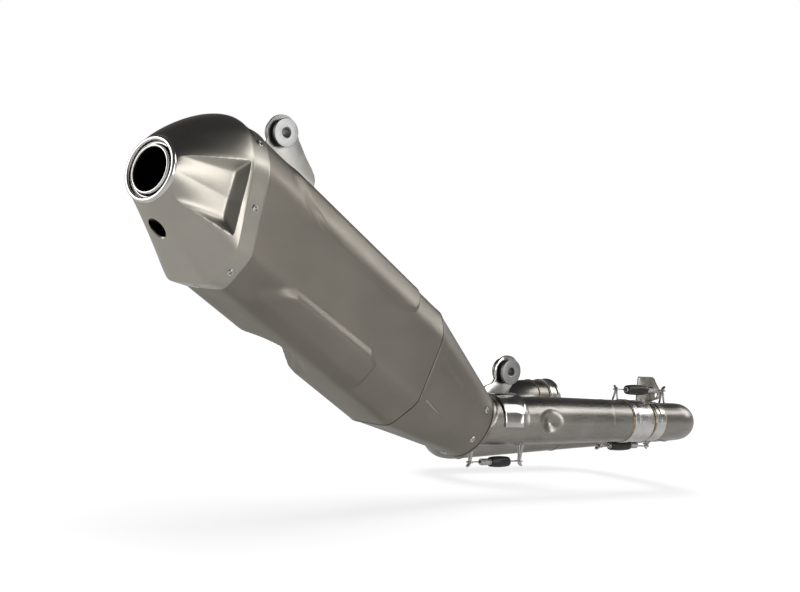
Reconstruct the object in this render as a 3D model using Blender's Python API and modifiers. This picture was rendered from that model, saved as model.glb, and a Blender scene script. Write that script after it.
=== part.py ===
"""Racing exhaust system for a single-cylinder off-road motorcycle, in metres.

The origin is the centre of the header's port face. +X points to the front of the motorcycle, +Y to
its left and +Z up. The header leaves the cylinder head to the rear, curls to the left, runs forward,
crosses in front of the cylinder and meets the mid pipe on the right. The mid pipe runs back along X
to the muffler, which rises to the rear and turns outward.
"""

import math

import bmesh
import bpy
from mathutils import Matrix, Vector

# Gaps and sheet thicknesses
GAP = 0.0003
SLIP_CLEARANCE = 0.0006
TUBE_WALL = 0.0012
SHEET = 0.0014
PLATE = 0.0025

# Header: a bent tube through these corners, each rounded to its bend radius
HEADER_RADIUS = 0.0205
PORT_COLLAR_LENGTH = 0.014
PORT_COLLAR_RADIUS = 0.0225
CURL_X = -0.082
CURL_BEND = 0.052
LEFT_Y = 0.110
LEFT_REAR_Z = -0.066
LEFT_FRONT_Z = -0.052
CROSSING_X = 0.173
FRONT_BEND = 0.050
ELBOW_BEND = 0.042
BEND_STEPS = 6
BEND_LEAD = 0.003

# Pipe line on the right side: mid pipe, slip joint and muffler inlet share this axis along X
PIPE_Y = -0.066
PIPE_Z = -0.016
MID_RADIUS = 0.0242
MID_FRONT_RADIUS = 0.0232
MID_REAR_X = -0.140
MID_TAPER_X = -0.030
MID_FRONT_X = 0.0495
DENT_X = -0.081
DENT_WIDTH = 0.0125
DENT_DEPTH = 0.0062
SPIGOT_RADIUS = 0.0214
SPIGOT_INSERTION = 0.022
STOP_BEAD_RADIUS = 0.0240
STOP_BEAD_WIDTH = 0.0075
SOCKET_REAR_X = 0.0582
SOCKET_RADIUS = SPIGOT_RADIUS + TUBE_WALL + SLIP_CLEARANCE
SOCKET_BAND_LENGTH = 0.024
SOCKET_RING_RADIUS = HEADER_RADIUS + 0.0013
SOCKET_RING_LENGTH = 0.011

# Inlet tube, which slips over the mid pipe's rear end
INLET_RADIUS = MID_RADIUS + TUBE_WALL + SLIP_CLEARANCE
INLET_FRONT_X = -0.1155
INLET_BEND = 0.060
INLET_STUB = 0.055

# Muffler: its axis leaves the pipe line at the inlet corner, and its rear seam is at the far end
SLEEVE_SLOPE = math.radians(27.0)
CAP_SLOPE = math.radians(10.5)
YAW = math.radians(12.0)
SLEEVE_LENGTH = 0.274
CONE_LENGTH = 0.137
INLET_CORNER = Vector((-0.1906, PIPE_Y, PIPE_Z))
CORNER_INSET = 0.0101
MUFFLER_FORWARD = Vector((math.cos(YAW), math.sin(YAW), -math.tan(SLEEVE_SLOPE))).normalized()
REAR_SEAM = INLET_CORNER - MUFFLER_FORWARD * (SLEEVE_LENGTH + CONE_LENGTH - CORNER_INSET)
SLEEVE_SIDE = 0.046
SLEEVE_TOP = 0.066
SLEEVE_BOTTOM = 0.064
UPPER_CHAMFER = (28.4, 0.0557)
CROWN_CHAMFER = (63.4, 0.0648)
LOWER_CHAMFER = (-39.2, 0.0590)
CORNER_SHARPNESS = 26
RING_POINTS = 40
CONE_END_HALF_WIDTH = INLET_RADIUS + 0.004
CONE_END_HALF_HEIGHT = INLET_RADIUS + 0.012
CONE_END_ACROSS = -0.0018
CONE_END_RISE = 0.003
WHEEL_DENT_X = 0.138
WHEEL_DENT_LENGTH = 0.042
WHEEL_DENT_DEPTH = 0.022

# End cap, outlet and its removable insert, measured along the cap's own axis
LIP_LENGTH = 0.014
LIP_GAP = 0.0013
RIM_LENGTH = 0.018
CAP_LENGTH = 0.078
OUTLET_OFFSET = Vector((0.0, -0.0012, 0.0082))
INSERT_RADIUS = 0.0200
INSERT_WALL = 0.0021
INSERT_BORE = INSERT_RADIUS - INSERT_WALL
INSERT_LENGTH = 0.046
COLLAR_RADIUS = INSERT_RADIUS + 0.0070
COLLAR_END = 0.0850
COLLAR_MOUTH_RADIUS = INSERT_RADIUS + 0.0031
COLLAR_MOUTH_DEPTH = 0.004
CAP_END_RADIUS = COLLAR_RADIUS - 0.0002
SCREW_ANGLE = math.radians(-88.0)
SCREW_X = -0.062
SCREW_THREAD_RADIUS = 0.0030
SCREW_HEAD_RADIUS = 0.0048
BOSS_RADIUS = 0.0078
BOSS_TOP = 0.0375

# Core, packing and inlet flange
CORE_OVERLAP = 0.012
CORE_REAR = 0.010
PACKING_FRONT = 0.230
FLANGE_NECK_X = -0.1715
FLANGE_COLLAR = 0.003
FLANGE_SLOT_RADIUS = 0.0018
FLANGE_SLOT_HEIGHTS = (-0.002, -0.014, -0.025)
HOLE_RADIUS = 0.004

# Brackets, grommets and bushes: both bushes are the same part
BUSH_FLANGE_RADIUS = 0.0133
BUSH_FLANGE = 0.0025
BUSH_NECK_RADIUS = 0.0075
BUSH_BORE_RADIUS = 0.0042
BUSH_LENGTH = 0.016
BUSH_FACE_Y = -0.0596
EYE_RADIUS = 0.0165
EYE_HOLE_RADIUS = 0.0105
GROMMET_LIP_RADIUS = 0.0125
REAR_BUSH = REAR_SEAM + Vector((0.115, 0.0, 0.0776))
FRONT_BUSH = Vector((-0.116, 0.0, 0.0335))
SADDLE_REAR_X = -0.150
SADDLE_FRONT_X = -0.1175

# Springs, hooks and rivets
HEADER_SPRING_REAR_X = 0.040
HEADER_SPRING_FRONT_X = 0.118
HEADER_SPRING_LIFT = 0.0115
MUFFLER_SPRING_REAR_X = -0.170
MUFFLER_SPRING_FRONT_X = -0.100
MUFFLER_SPRING_DROP = 0.043
HOOK_WIRE = 0.0015
SPRING_WIRE = 0.0008
COIL_RADIUS = 0.0036
SPRING_SLEEVE_RADIUS = 0.0056
SPRING_SLEEVE_WALL = 0.0012
RIVET_RADIUS = 0.0034
RIVET_HEIGHT = 0.0012
CAP_RIVET_X = -0.0085
CAP_RIVET_ANGLES = (90.0, 125.5, 181.0, 236.0, 270.0, 304.0, -1.0, 54.5)
CONE_RIVET_SHARE = 0.885
CONE_RIVET_ANGLES = (90.0, 165.0, 214.5, 270.0, 325.5, 15.0)


def material(name, colour, roughness, metallic):
    made = bpy.data.materials.new(name)
    made.use_nodes = True
    shader = made.node_tree.nodes["Principled BSDF"]
    shader.inputs["Base Color"].default_value = (*colour, 1.0)
    shader.inputs["Roughness"].default_value = roughness
    shader.inputs["Metallic"].default_value = metallic
    return made


def clear_scene():
    for thing in list(bpy.data.objects):
        bpy.data.objects.remove(thing, do_unlink=True)


def collection(name):
    made = bpy.data.collections.new(name)
    bpy.context.scene.collection.children.link(made)
    return made


clear_scene()
PARTS = collection("racing_exhaust_system")
CUTTERS = collection("cutters")
CUTTERS.hide_render = True

BLASTED = material("blasted_titanium", (0.30, 0.29, 0.27), 0.42, 1.0)
BRUSHED = material("brushed_titanium", (0.46, 0.43, 0.39), 0.30, 1.0)
POLISHED = material("machined_titanium", (0.72, 0.71, 0.69), 0.16, 1.0)
ALUMINIUM = material("turned_aluminium", (0.80, 0.80, 0.79), 0.25, 1.0)
STEEL = material("spring_steel", (0.62, 0.61, 0.60), 0.22, 1.0)
RUBBER = material("black_rubber", (0.02, 0.02, 0.02), 0.70, 0.0)
WOOL = material("glass_wool", (0.85, 0.80, 0.62), 0.95, 0.0)


# Building tools -----------------------------------------------------------------------------------


def add(name, data, finish, parent=None, place=PARTS):
    made = bpy.data.objects.new(name, data)
    data.materials.append(finish)
    place.objects.link(made)
    made.parent = parent
    return made


def empty(name, matrix, parent=None):
    made = bpy.data.objects.new(name, None)
    PARTS.objects.link(made)
    made.parent = parent
    made.matrix_world = matrix
    return made


def smooth(mesh):
    mesh.shade_smooth()
    mesh.set_sharp_from_angle(angle=math.radians(35))


def solidify(thing, thickness):
    """Gives an open surface its wall, on the inner side."""
    wall = thing.modifiers.new("wall", "SOLIDIFY")
    wall.thickness = thickness
    wall.offset = -1.0
    wall.use_even_offset = True


def skin(name, rings, finish, parent=None, wall=None, cyclic=False):
    """Lofts through rings of equal point counts, ordered along +X with points turning from +Y to +Z."""
    shape = bmesh.new()
    rows = [[shape.verts.new(point) for point in ring] for ring in rings]
    count = len(rows[0])
    following = rows[1:] + rows[:1] if cyclic else rows[1:]
    for here, ahead in zip(rows, following):
        for j in range(count):
            k = (j + 1) % count
            shape.faces.new((here[j], here[k], ahead[k], ahead[j]))
    mesh = bpy.data.meshes.new(name)
    shape.to_mesh(mesh)
    shape.free()
    smooth(mesh)
    made = add(name, mesh, finish, parent)
    if wall:
        solidify(made, wall)
    return made


def tube(name, points, radius, finish, parent=None, wall=TUBE_WALL, sides=6):
    """A tube along the points. Without a wall it is solid, with filled caps."""
    curve = bpy.data.curves.new(name, "CURVE")
    curve.dimensions = "3D"
    curve.bevel_depth = radius
    curve.bevel_resolution = sides
    curve.use_fill_caps = wall is None
    spline = curve.splines.new("POLY")
    spline.points.add(len(points) - 1)
    for target, point in zip(spline.points, points):
        target.co = (*point, 1.0)
    made = add(name, curve, finish, parent)
    made.matrix_world = Matrix.Identity(4)
    if wall:
        solidify(made, wall)
    return made


def turned(name, profile, finish, matrix, parent=None, steps=20):
    """A turned piece about +Z from a closed (radius, height) outline, then placed by the matrix."""
    mesh = bpy.data.meshes.new(name)
    count = len(profile)
    edges = [(i, (i + 1) % count) for i in range(count)]
    mesh.from_pydata([(radius, 0.0, height) for radius, height in profile], edges, [])
    made = add(name, mesh, finish, parent)
    made.matrix_world = matrix
    screw = made.modifiers.new("turn", "SCREW")
    screw.steps = steps
    screw.render_steps = steps
    screw.use_merge_vertices = True
    screw.merge_threshold = 0.00001
    screw.use_smooth_shade = True
    return made


def plate(name, outline, thickness, finish, matrix, parent=None, place=PARTS):
    """A flat outline in the matrix's XY plane, with half its thickness on each side."""
    curve = bpy.data.curves.new(name, "CURVE")
    curve.dimensions = "2D"
    curve.fill_mode = "BOTH"
    curve.extrude = thickness / 2
    for loop in outline:
        spline = curve.splines.new("POLY")
        spline.points.add(len(loop) - 1)
        spline.use_cyclic_u = True
        for target, (x, y) in zip(spline.points, loop):
            target.co = (x, y, 0.0, 1.0)
    made = add(name, curve, finish, parent, place)
    made.matrix_world = matrix
    return made


def as_mesh(thing):
    """Replaces a curve object by the welded mesh it draws, so that Booleans can use it."""
    bpy.context.view_layer.update()
    name, finish, parent = thing.name, thing.active_material, thing.parent
    place, matrix = thing.users_collection[0], thing.matrix_world.copy()
    graph = bpy.context.evaluated_depsgraph_get()
    mesh = bpy.data.meshes.new_from_object(thing.evaluated_get(graph))
    shape = bmesh.new()
    shape.from_mesh(mesh)
    bmesh.ops.remove_doubles(shape, verts=shape.verts, dist=0.00001)
    bmesh.ops.recalc_face_normals(shape, faces=shape.faces)
    shape.to_mesh(mesh)
    shape.free()
    bpy.data.objects.remove(thing, do_unlink=True)
    mesh.materials.clear()
    made = add(name, mesh, finish, parent, place)
    made.matrix_world = matrix
    return made


def hull(name, points, finish, place=CUTTERS):
    """The convex solid around the points."""
    shape = bmesh.new()
    for point in points:
        shape.verts.new(point)
    bmesh.ops.convex_hull(shape, input=shape.verts)
    loose = [vertex for vertex in shape.verts if not vertex.link_faces]
    bmesh.ops.delete(shape, geom=loose, context="VERTS")
    bmesh.ops.recalc_face_normals(shape, faces=shape.faces)
    mesh = bpy.data.meshes.new(name)
    shape.to_mesh(mesh)
    shape.free()
    made = add(name, mesh, finish, None, place)
    hide(made)
    return made


def hide(thing):
    thing.hide_render = True
    thing.display_type = "WIRE"


def rod(name, start, end, radius, sides=16):
    """A cylinder between two points, used as a cutter or as stock for a union."""
    start, end = Vector(start), Vector(end)
    shape = bmesh.new()
    bmesh.ops.create_cone(
        shape, cap_ends=True, segments=sides, radius1=radius, radius2=radius, depth=(end - start).length
    )
    mesh = bpy.data.meshes.new(name)
    shape.to_mesh(mesh)
    shape.free()
    made = bpy.data.objects.new(name, mesh)
    CUTTERS.objects.link(made)
    hide(made)
    made.matrix_world = facing((start + end) / 2, end - start)
    return made


def as_cutter(thing):
    """Turns a curve into a mesh that only cuts, outside the part itself."""
    made = as_mesh(thing)
    PARTS.objects.unlink(made)
    CUTTERS.objects.link(made)
    hide(made)
    return made


def boolean(thing, other, operation):
    step = thing.modifiers.new(operation.lower(), "BOOLEAN")
    step.operation = operation
    step.object = other
    step.solver = "EXACT"


def facing(place, direction):
    """A matrix at the place whose +Z points along the direction."""
    return Matrix.Translation(place) @ Vector(direction).to_track_quat("Z", "Y").to_matrix().to_4x4()


def arc(centre, radius, start, end, steps):
    """Points of an arc in a plane, by angle in degrees."""
    angles = [math.radians(start + (end - start) * i / steps) for i in range(steps + 1)]
    return [(centre[0] + radius * math.cos(a), centre[1] + radius * math.sin(a)) for a in angles]


def bend(before, corner, after, radius, steps=BEND_STEPS):
    """The arc that rounds a corner of a pipe's route, with a short straight lead at each end."""
    back, ahead = (before - corner).normalized(), (after - corner).normalized()
    half = back.angle(ahead) / 2
    centre = corner + (back + ahead).normalized() * radius / math.sin(half)
    start = corner + back * radius / math.tan(half)
    end = corner + ahead * radius / math.tan(half)
    sweep = math.pi - 2 * half
    first, last = start - centre, end - centre
    points = [start + back * BEND_LEAD]
    for i in range(steps + 1):
        share = i / steps
        one, two = math.sin((1 - share) * sweep), math.sin(share * sweep)
        points.append(centre + (first * one + last * two) / math.sin(sweep))
    return [*points, end + ahead * BEND_LEAD]


def trimmed(points, start=GAP / 2, end=GAP / 2):
    """The route, shortened at its ends so that it clears the pieces it is welded to."""
    first = points[0] + (points[1] - points[0]).normalized() * start
    last = points[-1] + (points[-2] - points[-1]).normalized() * end
    return [first, *points[1:-1], last]


# Frames -------------------------------------------------------------------------------------------


def aimed(place, slope):
    """A frame whose +X points forward and down by the slope, turned by the muffler's yaw."""
    return Matrix.Translation(place) @ Matrix.Rotation(YAW, 4, "Z") @ Matrix.Rotation(slope, 4, "Y")


MUFFLER_MATRIX = aimed(REAR_SEAM, SLEEVE_SLOPE)
CAP_MATRIX = aimed(REAR_SEAM, CAP_SLOPE)
CAP_TILT = SLEEVE_SLOPE - CAP_SLOPE
PIPE_MATRIX = Matrix.Translation((0.0, PIPE_Y, PIPE_Z))
ALONG_X = Matrix.Rotation(math.radians(90), 4, "Y")
ALONG_Y = Matrix.Rotation(math.radians(-90), 4, "X")

pipe_frame = empty("pipe_frame", PIPE_MATRIX)
swivel_frame = empty("swivel_frame", PIPE_MATRIX)
muffler_frame = empty("muffler_frame", MUFFLER_MATRIX, swivel_frame)
cap_frame = empty("cap_frame", CAP_MATRIX, swivel_frame)
header_frame = empty("header_frame", Matrix.Identity(4))


# Muffler sections ---------------------------------------------------------------------------------


def sleeve_faces():
    """The flats of the sleeve's section as (direction in degrees, distance), from its right half."""
    mirrored = [UPPER_CHAMFER, CROWN_CHAMFER, LOWER_CHAMFER]
    flats = [(0.0, SLEEVE_SIDE), (180.0, SLEEVE_SIDE), (90.0, SLEEVE_TOP), (-90.0, SLEEVE_BOTTOM)]
    return flats + mirrored + [(180.0 - angle, distance) for angle, distance in mirrored]


def sleeve_radius(angle, inset):
    """Distance from the sleeve's axis to its wall, with the corners between the flats rounded."""
    total = 0.0
    for direction, distance in sleeve_faces():
        share = math.cos(angle - math.radians(direction)) / (distance - inset)
        total += max(0.0, share) ** CORNER_SHARPNESS
    return total ** (-1 / CORNER_SHARPNESS)


def sleeve_points(inset=0.0):
    """(across, up) points of the sleeve's section."""
    points = []
    for i in range(RING_POINTS):
        angle = math.tau * i / RING_POINTS
        radius = sleeve_radius(angle, inset)
        points.append((radius * math.cos(angle), radius * math.sin(angle)))
    return points


def round_points(half_width, half_height, across=0.0, up=0.0):
    points = []
    for i in range(RING_POINTS):
        angle = math.tau * i / RING_POINTS
        points.append((across + half_width * math.cos(angle), up + half_height * math.sin(angle)))
    return points


def wheel_dent(x, across, up):
    """How far the lower left side is pressed in, to clear the wheel."""
    along = (x - WHEEL_DENT_X) / WHEEL_DENT_LENGTH
    around = (math.atan2(up, across) - math.radians(-62)) / math.radians(38)
    fall = 1 - along * along - around * around
    return WHEEL_DENT_DEPTH * max(0.0, fall) ** 1.5


def sleeve_ring(x, inset=0.0, slanted=0.0):
    """A ring of the sleeve at x. A slanted ring lies in the plane of the rear seam."""
    ring = []
    for across, up in sleeve_points(inset):
        place = x - slanted * up * math.tan(CAP_TILT)
        reach = math.hypot(across, up)
        share = 1 - wheel_dent(place, across, up) / reach
        ring.append((place, across * share, up * share))
    return ring


def cap_ring(x, inset=0.0):
    """A ring of the end cap's rim in the cap's frame, matching the slanted end of the sleeve."""
    return [(x, across, up / math.cos(CAP_TILT)) for across, up in sleeve_points(inset)]


def cap_lip_ring(x):
    """A ring of the sleeve's rear lip, which follows the cap's axis under the cap's rim."""
    across_frames = MUFFLER_MATRIX.inverted() @ CAP_MATRIX
    return [across_frames @ Vector(point) for point in cap_ring(x, SHEET + LIP_GAP)]


def blended(first, second, share):
    return [Vector(a).lerp(Vector(b), share) for a, b in zip(first, second)]


# Muffler ------------------------------------------------------------------------------------------


def build_sleeve():
    rear = [cap_lip_ring(-LIP_LENGTH), cap_lip_ring(-GAP)]
    body = [sleeve_ring(GAP, 0.0, 1.0), sleeve_ring(0.045, 0.0, 0.5)]
    steps = 7
    start, end = 0.094, 0.182
    dented = [sleeve_ring(start + (end - start) * i / (steps - 1)) for i in range(steps)]
    front = [sleeve_ring(SLEEVE_LENGTH - GAP)]
    lip = [cone_ring(0.0, SHEET + LIP_GAP), cone_ring(LIP_LENGTH / CONE_LENGTH, SHEET + LIP_GAP)]
    skin("muffler_sleeve", rear + body + dented + front + lip, BLASTED, muffler_frame, SHEET)


def cone_end_ring(x, inset=0.0):
    """The oval at the small end of the front cone."""
    width, height = CONE_END_HALF_WIDTH - inset, CONE_END_HALF_HEIGHT - inset
    return [(x, y, z) for y, z in round_points(width, height, CONE_END_ACROSS, CONE_END_RISE)]


def cone_ring(share, inset=0.0):
    """A ring of the front cone, from the sleeve's section to an oval."""
    start = [(SLEEVE_LENGTH + GAP, y, z) for y, z in sleeve_points(inset)]
    return blended(start, cone_end_ring(SLEEVE_LENGTH + CONE_LENGTH, inset), share)


def build_front_cone():
    rings = [cone_ring(share) for share in (0.0, 0.12, 0.4, 0.7, 1.0)]
    return skin("front_cone", rings, BLASTED, muffler_frame, SHEET)


def build_end_cap():
    throat = [(-CAP_LENGTH, y, z) for y, z in cap_throat()]
    rim = cap_ring(-RIM_LENGTH)
    shoulder = cap_ring(-RIM_LENGTH - 0.004, 0.002)
    rings = [throat, blended(shoulder, throat, 0.55), shoulder, rim, cap_ring(-GAP)]
    cap = skin("end_cap", rings, BLASTED, cap_frame, SHEET)
    place, direction = screw_axis()
    hole = rod("screw_hole", place + direction * 0.026, place + direction * 0.070, BOSS_RADIUS + GAP, 24)
    boolean(cap, hole, "DIFFERENCE")


def cap_throat():
    return round_points(CAP_END_RADIUS, CAP_END_RADIUS, OUTLET_OFFSET.y, OUTLET_OFFSET.z)


def outlet_matrix():
    """On the outlet's axis at the rear seam plane, with +Z pointing out of the outlet."""
    return CAP_MATRIX @ Matrix.Translation(OUTLET_OFFSET) @ ALONG_X.inverted()


def build_outlet():
    end, mouth = COLLAR_END, COLLAR_END - COLLAR_MOUTH_DEPTH
    bore = INSERT_RADIUS + GAP
    collar = [
        (COLLAR_RADIUS - 0.0012, end),
        (COLLAR_RADIUS, end - 0.0015),
        (COLLAR_RADIUS, CAP_LENGTH + GAP),
        (bore + TUBE_WALL, CAP_LENGTH + GAP),
        (bore + TUBE_WALL, CAP_LENGTH - 0.040),
        (bore, CAP_LENGTH - 0.040),
        (bore, mouth),
        (COLLAR_MOUTH_RADIUS, mouth),
        (COLLAR_MOUTH_RADIUS, end - 0.0008),
    ]
    turned("outlet_collar", collar, POLISHED, outlet_matrix(), cap_frame, 28)
    insert = [
        (INSERT_RADIUS - 0.0008, end - 0.0005),
        (INSERT_RADIUS, end - 0.0015),
        (INSERT_RADIUS, end - INSERT_LENGTH),
        (INSERT_BORE, end - INSERT_LENGTH),
        (INSERT_BORE, end - 0.0015),
    ]
    turned("outlet_insert", insert, POLISHED, outlet_matrix(), cap_frame, 28)


def screw_axis():
    """The lock screw's foot on the outlet's axis, and its outward direction."""
    place = CAP_MATRIX @ (OUTLET_OFFSET + Vector((SCREW_X, 0.0, 0.0)))
    local = Vector((0.0, math.cos(SCREW_ANGLE), math.sin(SCREW_ANGLE)))
    return place, (CAP_MATRIX.to_3x3() @ local).normalized()


def build_lock_screw():
    place, direction = screw_axis()
    matrix = facing(place, direction)
    floor = INSERT_RADIUS + GAP + TUBE_WALL + 0.0012
    boss = [
        (BOSS_RADIUS, BOSS_TOP),
        (BOSS_RADIUS, floor),
        (SCREW_THREAD_RADIUS + GAP, floor),
        (SCREW_THREAD_RADIUS + GAP, floor + 0.003),
        (SCREW_HEAD_RADIUS + 0.0012, floor + 0.003),
        (SCREW_HEAD_RADIUS + 0.0012, BOSS_TOP),
    ]
    turned("screw_boss", boss, BLASTED, matrix, cap_frame, 16)
    seat = floor + 0.003 + GAP
    screw = [
        (SCREW_HEAD_RADIUS, seat + 0.0045),
        (SCREW_HEAD_RADIUS, seat),
        (SCREW_THREAD_RADIUS, seat),
        (SCREW_THREAD_RADIUS, floor - 0.0008),
        (0.0, floor - 0.0008),
        (0.0, seat + 0.002),
        (0.0024, seat + 0.002),
        (0.0024, seat + 0.0045),
    ]
    turned("insert_lock_screw", screw, STEEL, matrix, cap_frame, 12)


def inlet_route():
    """The inlet tube's centre line, from its open front end to the core inside the muffler."""
    front = Vector((INLET_FRONT_X, PIPE_Y, PIPE_Z))
    back = core_front() - MUFFLER_FORWARD * CORE_OVERLAP
    return [front, *bend(front, INLET_CORNER, back, INLET_BEND), back]


def build_inlet():
    tube("inlet_tube", inlet_route(), INLET_RADIUS, BRUSHED, swivel_frame, sides=7)


def core_front():
    """The front end of the perforated core, on the muffler's axis."""
    return INLET_CORNER - MUFFLER_FORWARD * INLET_STUB


def build_core():
    front = core_front()
    rear = REAR_SEAM - MUFFLER_FORWARD * CORE_REAR
    radius = INLET_RADIUS - TUBE_WALL - GAP * 3
    core = as_mesh(tube("core_tube", [front, rear], radius, BRUSHED, muffler_frame, sides=8))
    across = MUFFLER_MATRIX.to_3x3()
    stations, directions = 4, 2
    for i in range(stations):
        middle = rear.lerp(front, (i + 1.0) / (stations + 1.5))
        for j in range(directions):
            angle = math.pi * j / directions + 0.3
            side = across @ Vector((0.0, math.cos(angle), math.sin(angle)))
            reach = side * (radius + 0.010)
            drill = rod(f"core_hole_{i}_{j}", middle - reach, middle + reach, HOLE_RADIUS, 8)
            boolean(core, drill, "DIFFERENCE")


def packing_ring(x, slanted=0.0):
    return sleeve_ring(x, SHEET * 2 + GAP * 4, slanted)


def build_packing():
    bore = INLET_RADIUS - TUBE_WALL
    dented = [packing_ring(x) for x in (0.090, 0.114, 0.138, 0.162, 0.186)]
    outer = [packing_ring(0.006, 1.0), packing_ring(0.045, 0.5), *dented, packing_ring(PACKING_FRONT)]
    rear_bore = [(0.006, y, z) for y, z in round_points(bore, bore)]
    front_bore = [(PACKING_FRONT, y, z) for y, z in round_points(bore, bore)]
    skin("packing", outer + [front_bore, rear_bore], WOOL, muffler_frame, cyclic=True)


def build_inlet_flange():
    """A slotted skirt that closes the cone's oval end down to the round inlet tube."""
    edge = cone_end_ring(SLEEVE_LENGTH + CONE_LENGTH + GAP * 2 + SHEET)
    into_muffler = MUFFLER_MATRIX.inverted()
    reach = INLET_RADIUS + GAP + SHEET
    neck, collar = [], []
    for y, z in round_points(reach, reach, PIPE_Y, PIPE_Z):
        x = FLANGE_NECK_X + (z - PIPE_Z) * math.tan(SLEEVE_SLOPE) - (y - PIPE_Y) * math.tan(YAW)
        neck.append(into_muffler @ Vector((x, y, z)))
        collar.append(into_muffler @ Vector((x + FLANGE_COLLAR, y, z)))
    flange = skin("inlet_flange", [edge, neck, collar], BRUSHED, muffler_frame, SHEET)
    bore = tube("flange_bore", inlet_route(), INLET_RADIUS + GAP, BRUSHED, None, None, sides=7)
    boolean(flange, as_cutter(bore), "DIFFERENCE")
    for up in FLANGE_SLOT_HEIGHTS:
        middle = Vector((SLEEVE_LENGTH + CONE_LENGTH + 0.007, CONE_END_ACROSS, up))
        side = Vector((0.0, -0.060, up * 0.6))
        start = MUFFLER_MATRIX @ (middle + side * 0.3)
        slot = rod(f"flange_slot_{up}", start, MUFFLER_MATRIX @ (middle + side), FLANGE_SLOT_RADIUS, 12)
        boolean(flange, slot, "DIFFERENCE")


# Brackets and bushes ------------------------------------------------------------------------------


def eye_outline(rest):
    """The outline of a bracket: the rim of its eye over the arms that lead to the rest of it."""
    return arc((0.0, 0.0), EYE_RADIUS, 200, -30, 14) + rest


def bracket_matrix(bush):
    """A frame at a bush's eye, with its X along X, its Y along Z and its Z across."""
    eye_y = BUSH_FACE_Y + BUSH_LENGTH / 2
    across = Matrix.Rotation(math.radians(90), 4, "X")
    return Matrix.Translation((bush.x, eye_y, bush.z)) @ across


def eye_hole():
    return list(reversed(arc((0.0, 0.0), EYE_HOLE_RADIUS, 0, 345, 23)))


def build_rear_bracket():
    """An upright plate with the eye, and a web that leads down to the sleeve's upper left flat."""
    rest = [(0.030, -0.024), (0.034, -0.036), (-0.018, -0.036), (-0.0195, -0.012)]
    matrix = bracket_matrix(REAR_BUSH)
    upright = plate("rear_bracket", [eye_outline(rest), eye_hole()], PLATE, BRUSHED, matrix, muffler_frame)
    upright = as_mesh(upright)
    top = []
    for x in (-0.0175, 0.0335):
        for y in (-0.0355, -0.0325):
            for z in (-PLATE / 2, PLATE / 2):
                top.append(matrix @ Vector((x, y, z)))
    angle = math.radians(UPPER_CHAMFER[0])
    outward = Vector((0.0, math.cos(angle), math.sin(angle)))
    along = Vector((0.0, -math.sin(angle), math.cos(angle)))

    def strip(ends, slides, lifts):
        points = []
        for x in ends:
            for slide in slides:
                for lift in lifts:
                    local = outward * (UPPER_CHAMFER[1] + lift) + along * slide + Vector((x, 0.0, 0.0))
                    points.append(MUFFLER_MATRIX @ local)
        return points

    rest_on = GAP * 2
    weld_line = strip((0.076, 0.128), (0.0, 0.003), (rest_on, rest_on + PLATE))
    foot = strip((0.070, 0.134), (-0.008, 0.006), (rest_on, rest_on + PLATE * 0.8))
    boolean(upright, hull("rear_web", top + weld_line, BRUSHED), "UNION")
    boolean(upright, hull("rear_foot", foot, BRUSHED), "UNION")


def build_front_bracket():
    """An upright plate with the eye, standing on a saddle that wraps the top of the inlet tube."""
    foot = PIPE_Z - FRONT_BUSH.z + INLET_RADIUS - 0.002
    rest = [(0.006, foot + 0.010), (0.000, foot), (-0.034, foot), (-0.034, foot + 0.006), (-0.022, -0.012)]
    matrix = bracket_matrix(FRONT_BUSH)
    upright = plate("front_bracket", [eye_outline(rest), eye_hole()], PLATE, BRUSHED, matrix, muffler_frame)
    upright = as_mesh(upright)
    inner = INLET_RADIUS + GAP
    outer = inner + SHEET
    band = arc((0.0, 0.0), outer, 60, 188, 16) + list(reversed(arc((0.0, 0.0), inner, 60, 188, 16)))
    turn = Matrix(((0, 0, 1), (1, 0, 0), (0, 1, 0))).to_4x4()
    middle = (SADDLE_REAR_X + SADDLE_FRONT_X) / 2
    place = Matrix.Translation((middle, PIPE_Y, PIPE_Z)) @ turn
    length = SADDLE_FRONT_X - SADDLE_REAR_X
    saddle = as_mesh(plate("front_saddle", [band], length, BRUSHED, place, None, CUTTERS))
    hide(saddle)
    bore = rod("saddle_bore", (-0.2, PIPE_Y, PIPE_Z), (-0.05, PIPE_Y, PIPE_Z), inner, 48)
    boolean(upright, saddle, "UNION")
    boolean(upright, bore, "DIFFERENCE")


def build_mount_bush(side, bush):
    """A rubber grommet in the bracket's eye and a flanged aluminium bush in the grommet."""
    matrix = Matrix.Translation((bush.x, BUSH_FACE_Y, bush.z)) @ ALONG_Y
    neck = BUSH_NECK_RADIUS
    end, flange = BUSH_LENGTH, BUSH_FLANGE
    bore_rim = BUSH_BORE_RADIUS + 0.0006
    profile = [
        (BUSH_FLANGE_RADIUS, end),
        (BUSH_FLANGE_RADIUS, end - flange),
        (neck, end - flange),
        (neck, flange),
        (BUSH_FLANGE_RADIUS, flange),
        (BUSH_FLANGE_RADIUS, 0.0005),
        (BUSH_FLANGE_RADIUS - 0.0005, 0.0),
        (bore_rim, 0.0),
        (BUSH_BORE_RADIUS, 0.0006),
        (BUSH_BORE_RADIUS, end),
    ]
    turned(f"{side}_bush", profile, ALUMINIUM, matrix, muffler_frame)
    low, high = flange + GAP, end - flange - GAP
    half = PLATE / 2 + GAP
    middle = end / 2
    groove = EYE_HOLE_RADIUS - GAP
    grommet = [
        (GROMMET_LIP_RADIUS, high),
        (GROMMET_LIP_RADIUS, middle + half),
        (groove, middle + half),
        (groove, middle - half),
        (GROMMET_LIP_RADIUS, middle - half),
        (GROMMET_LIP_RADIUS, low),
        (neck + GAP, low),
        (neck + GAP, high),
    ]
    turned(f"{side}_grommet", grommet, RUBBER, matrix, muffler_frame)


# Mid pipe and slip joint --------------------------------------------------------------------------


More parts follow.
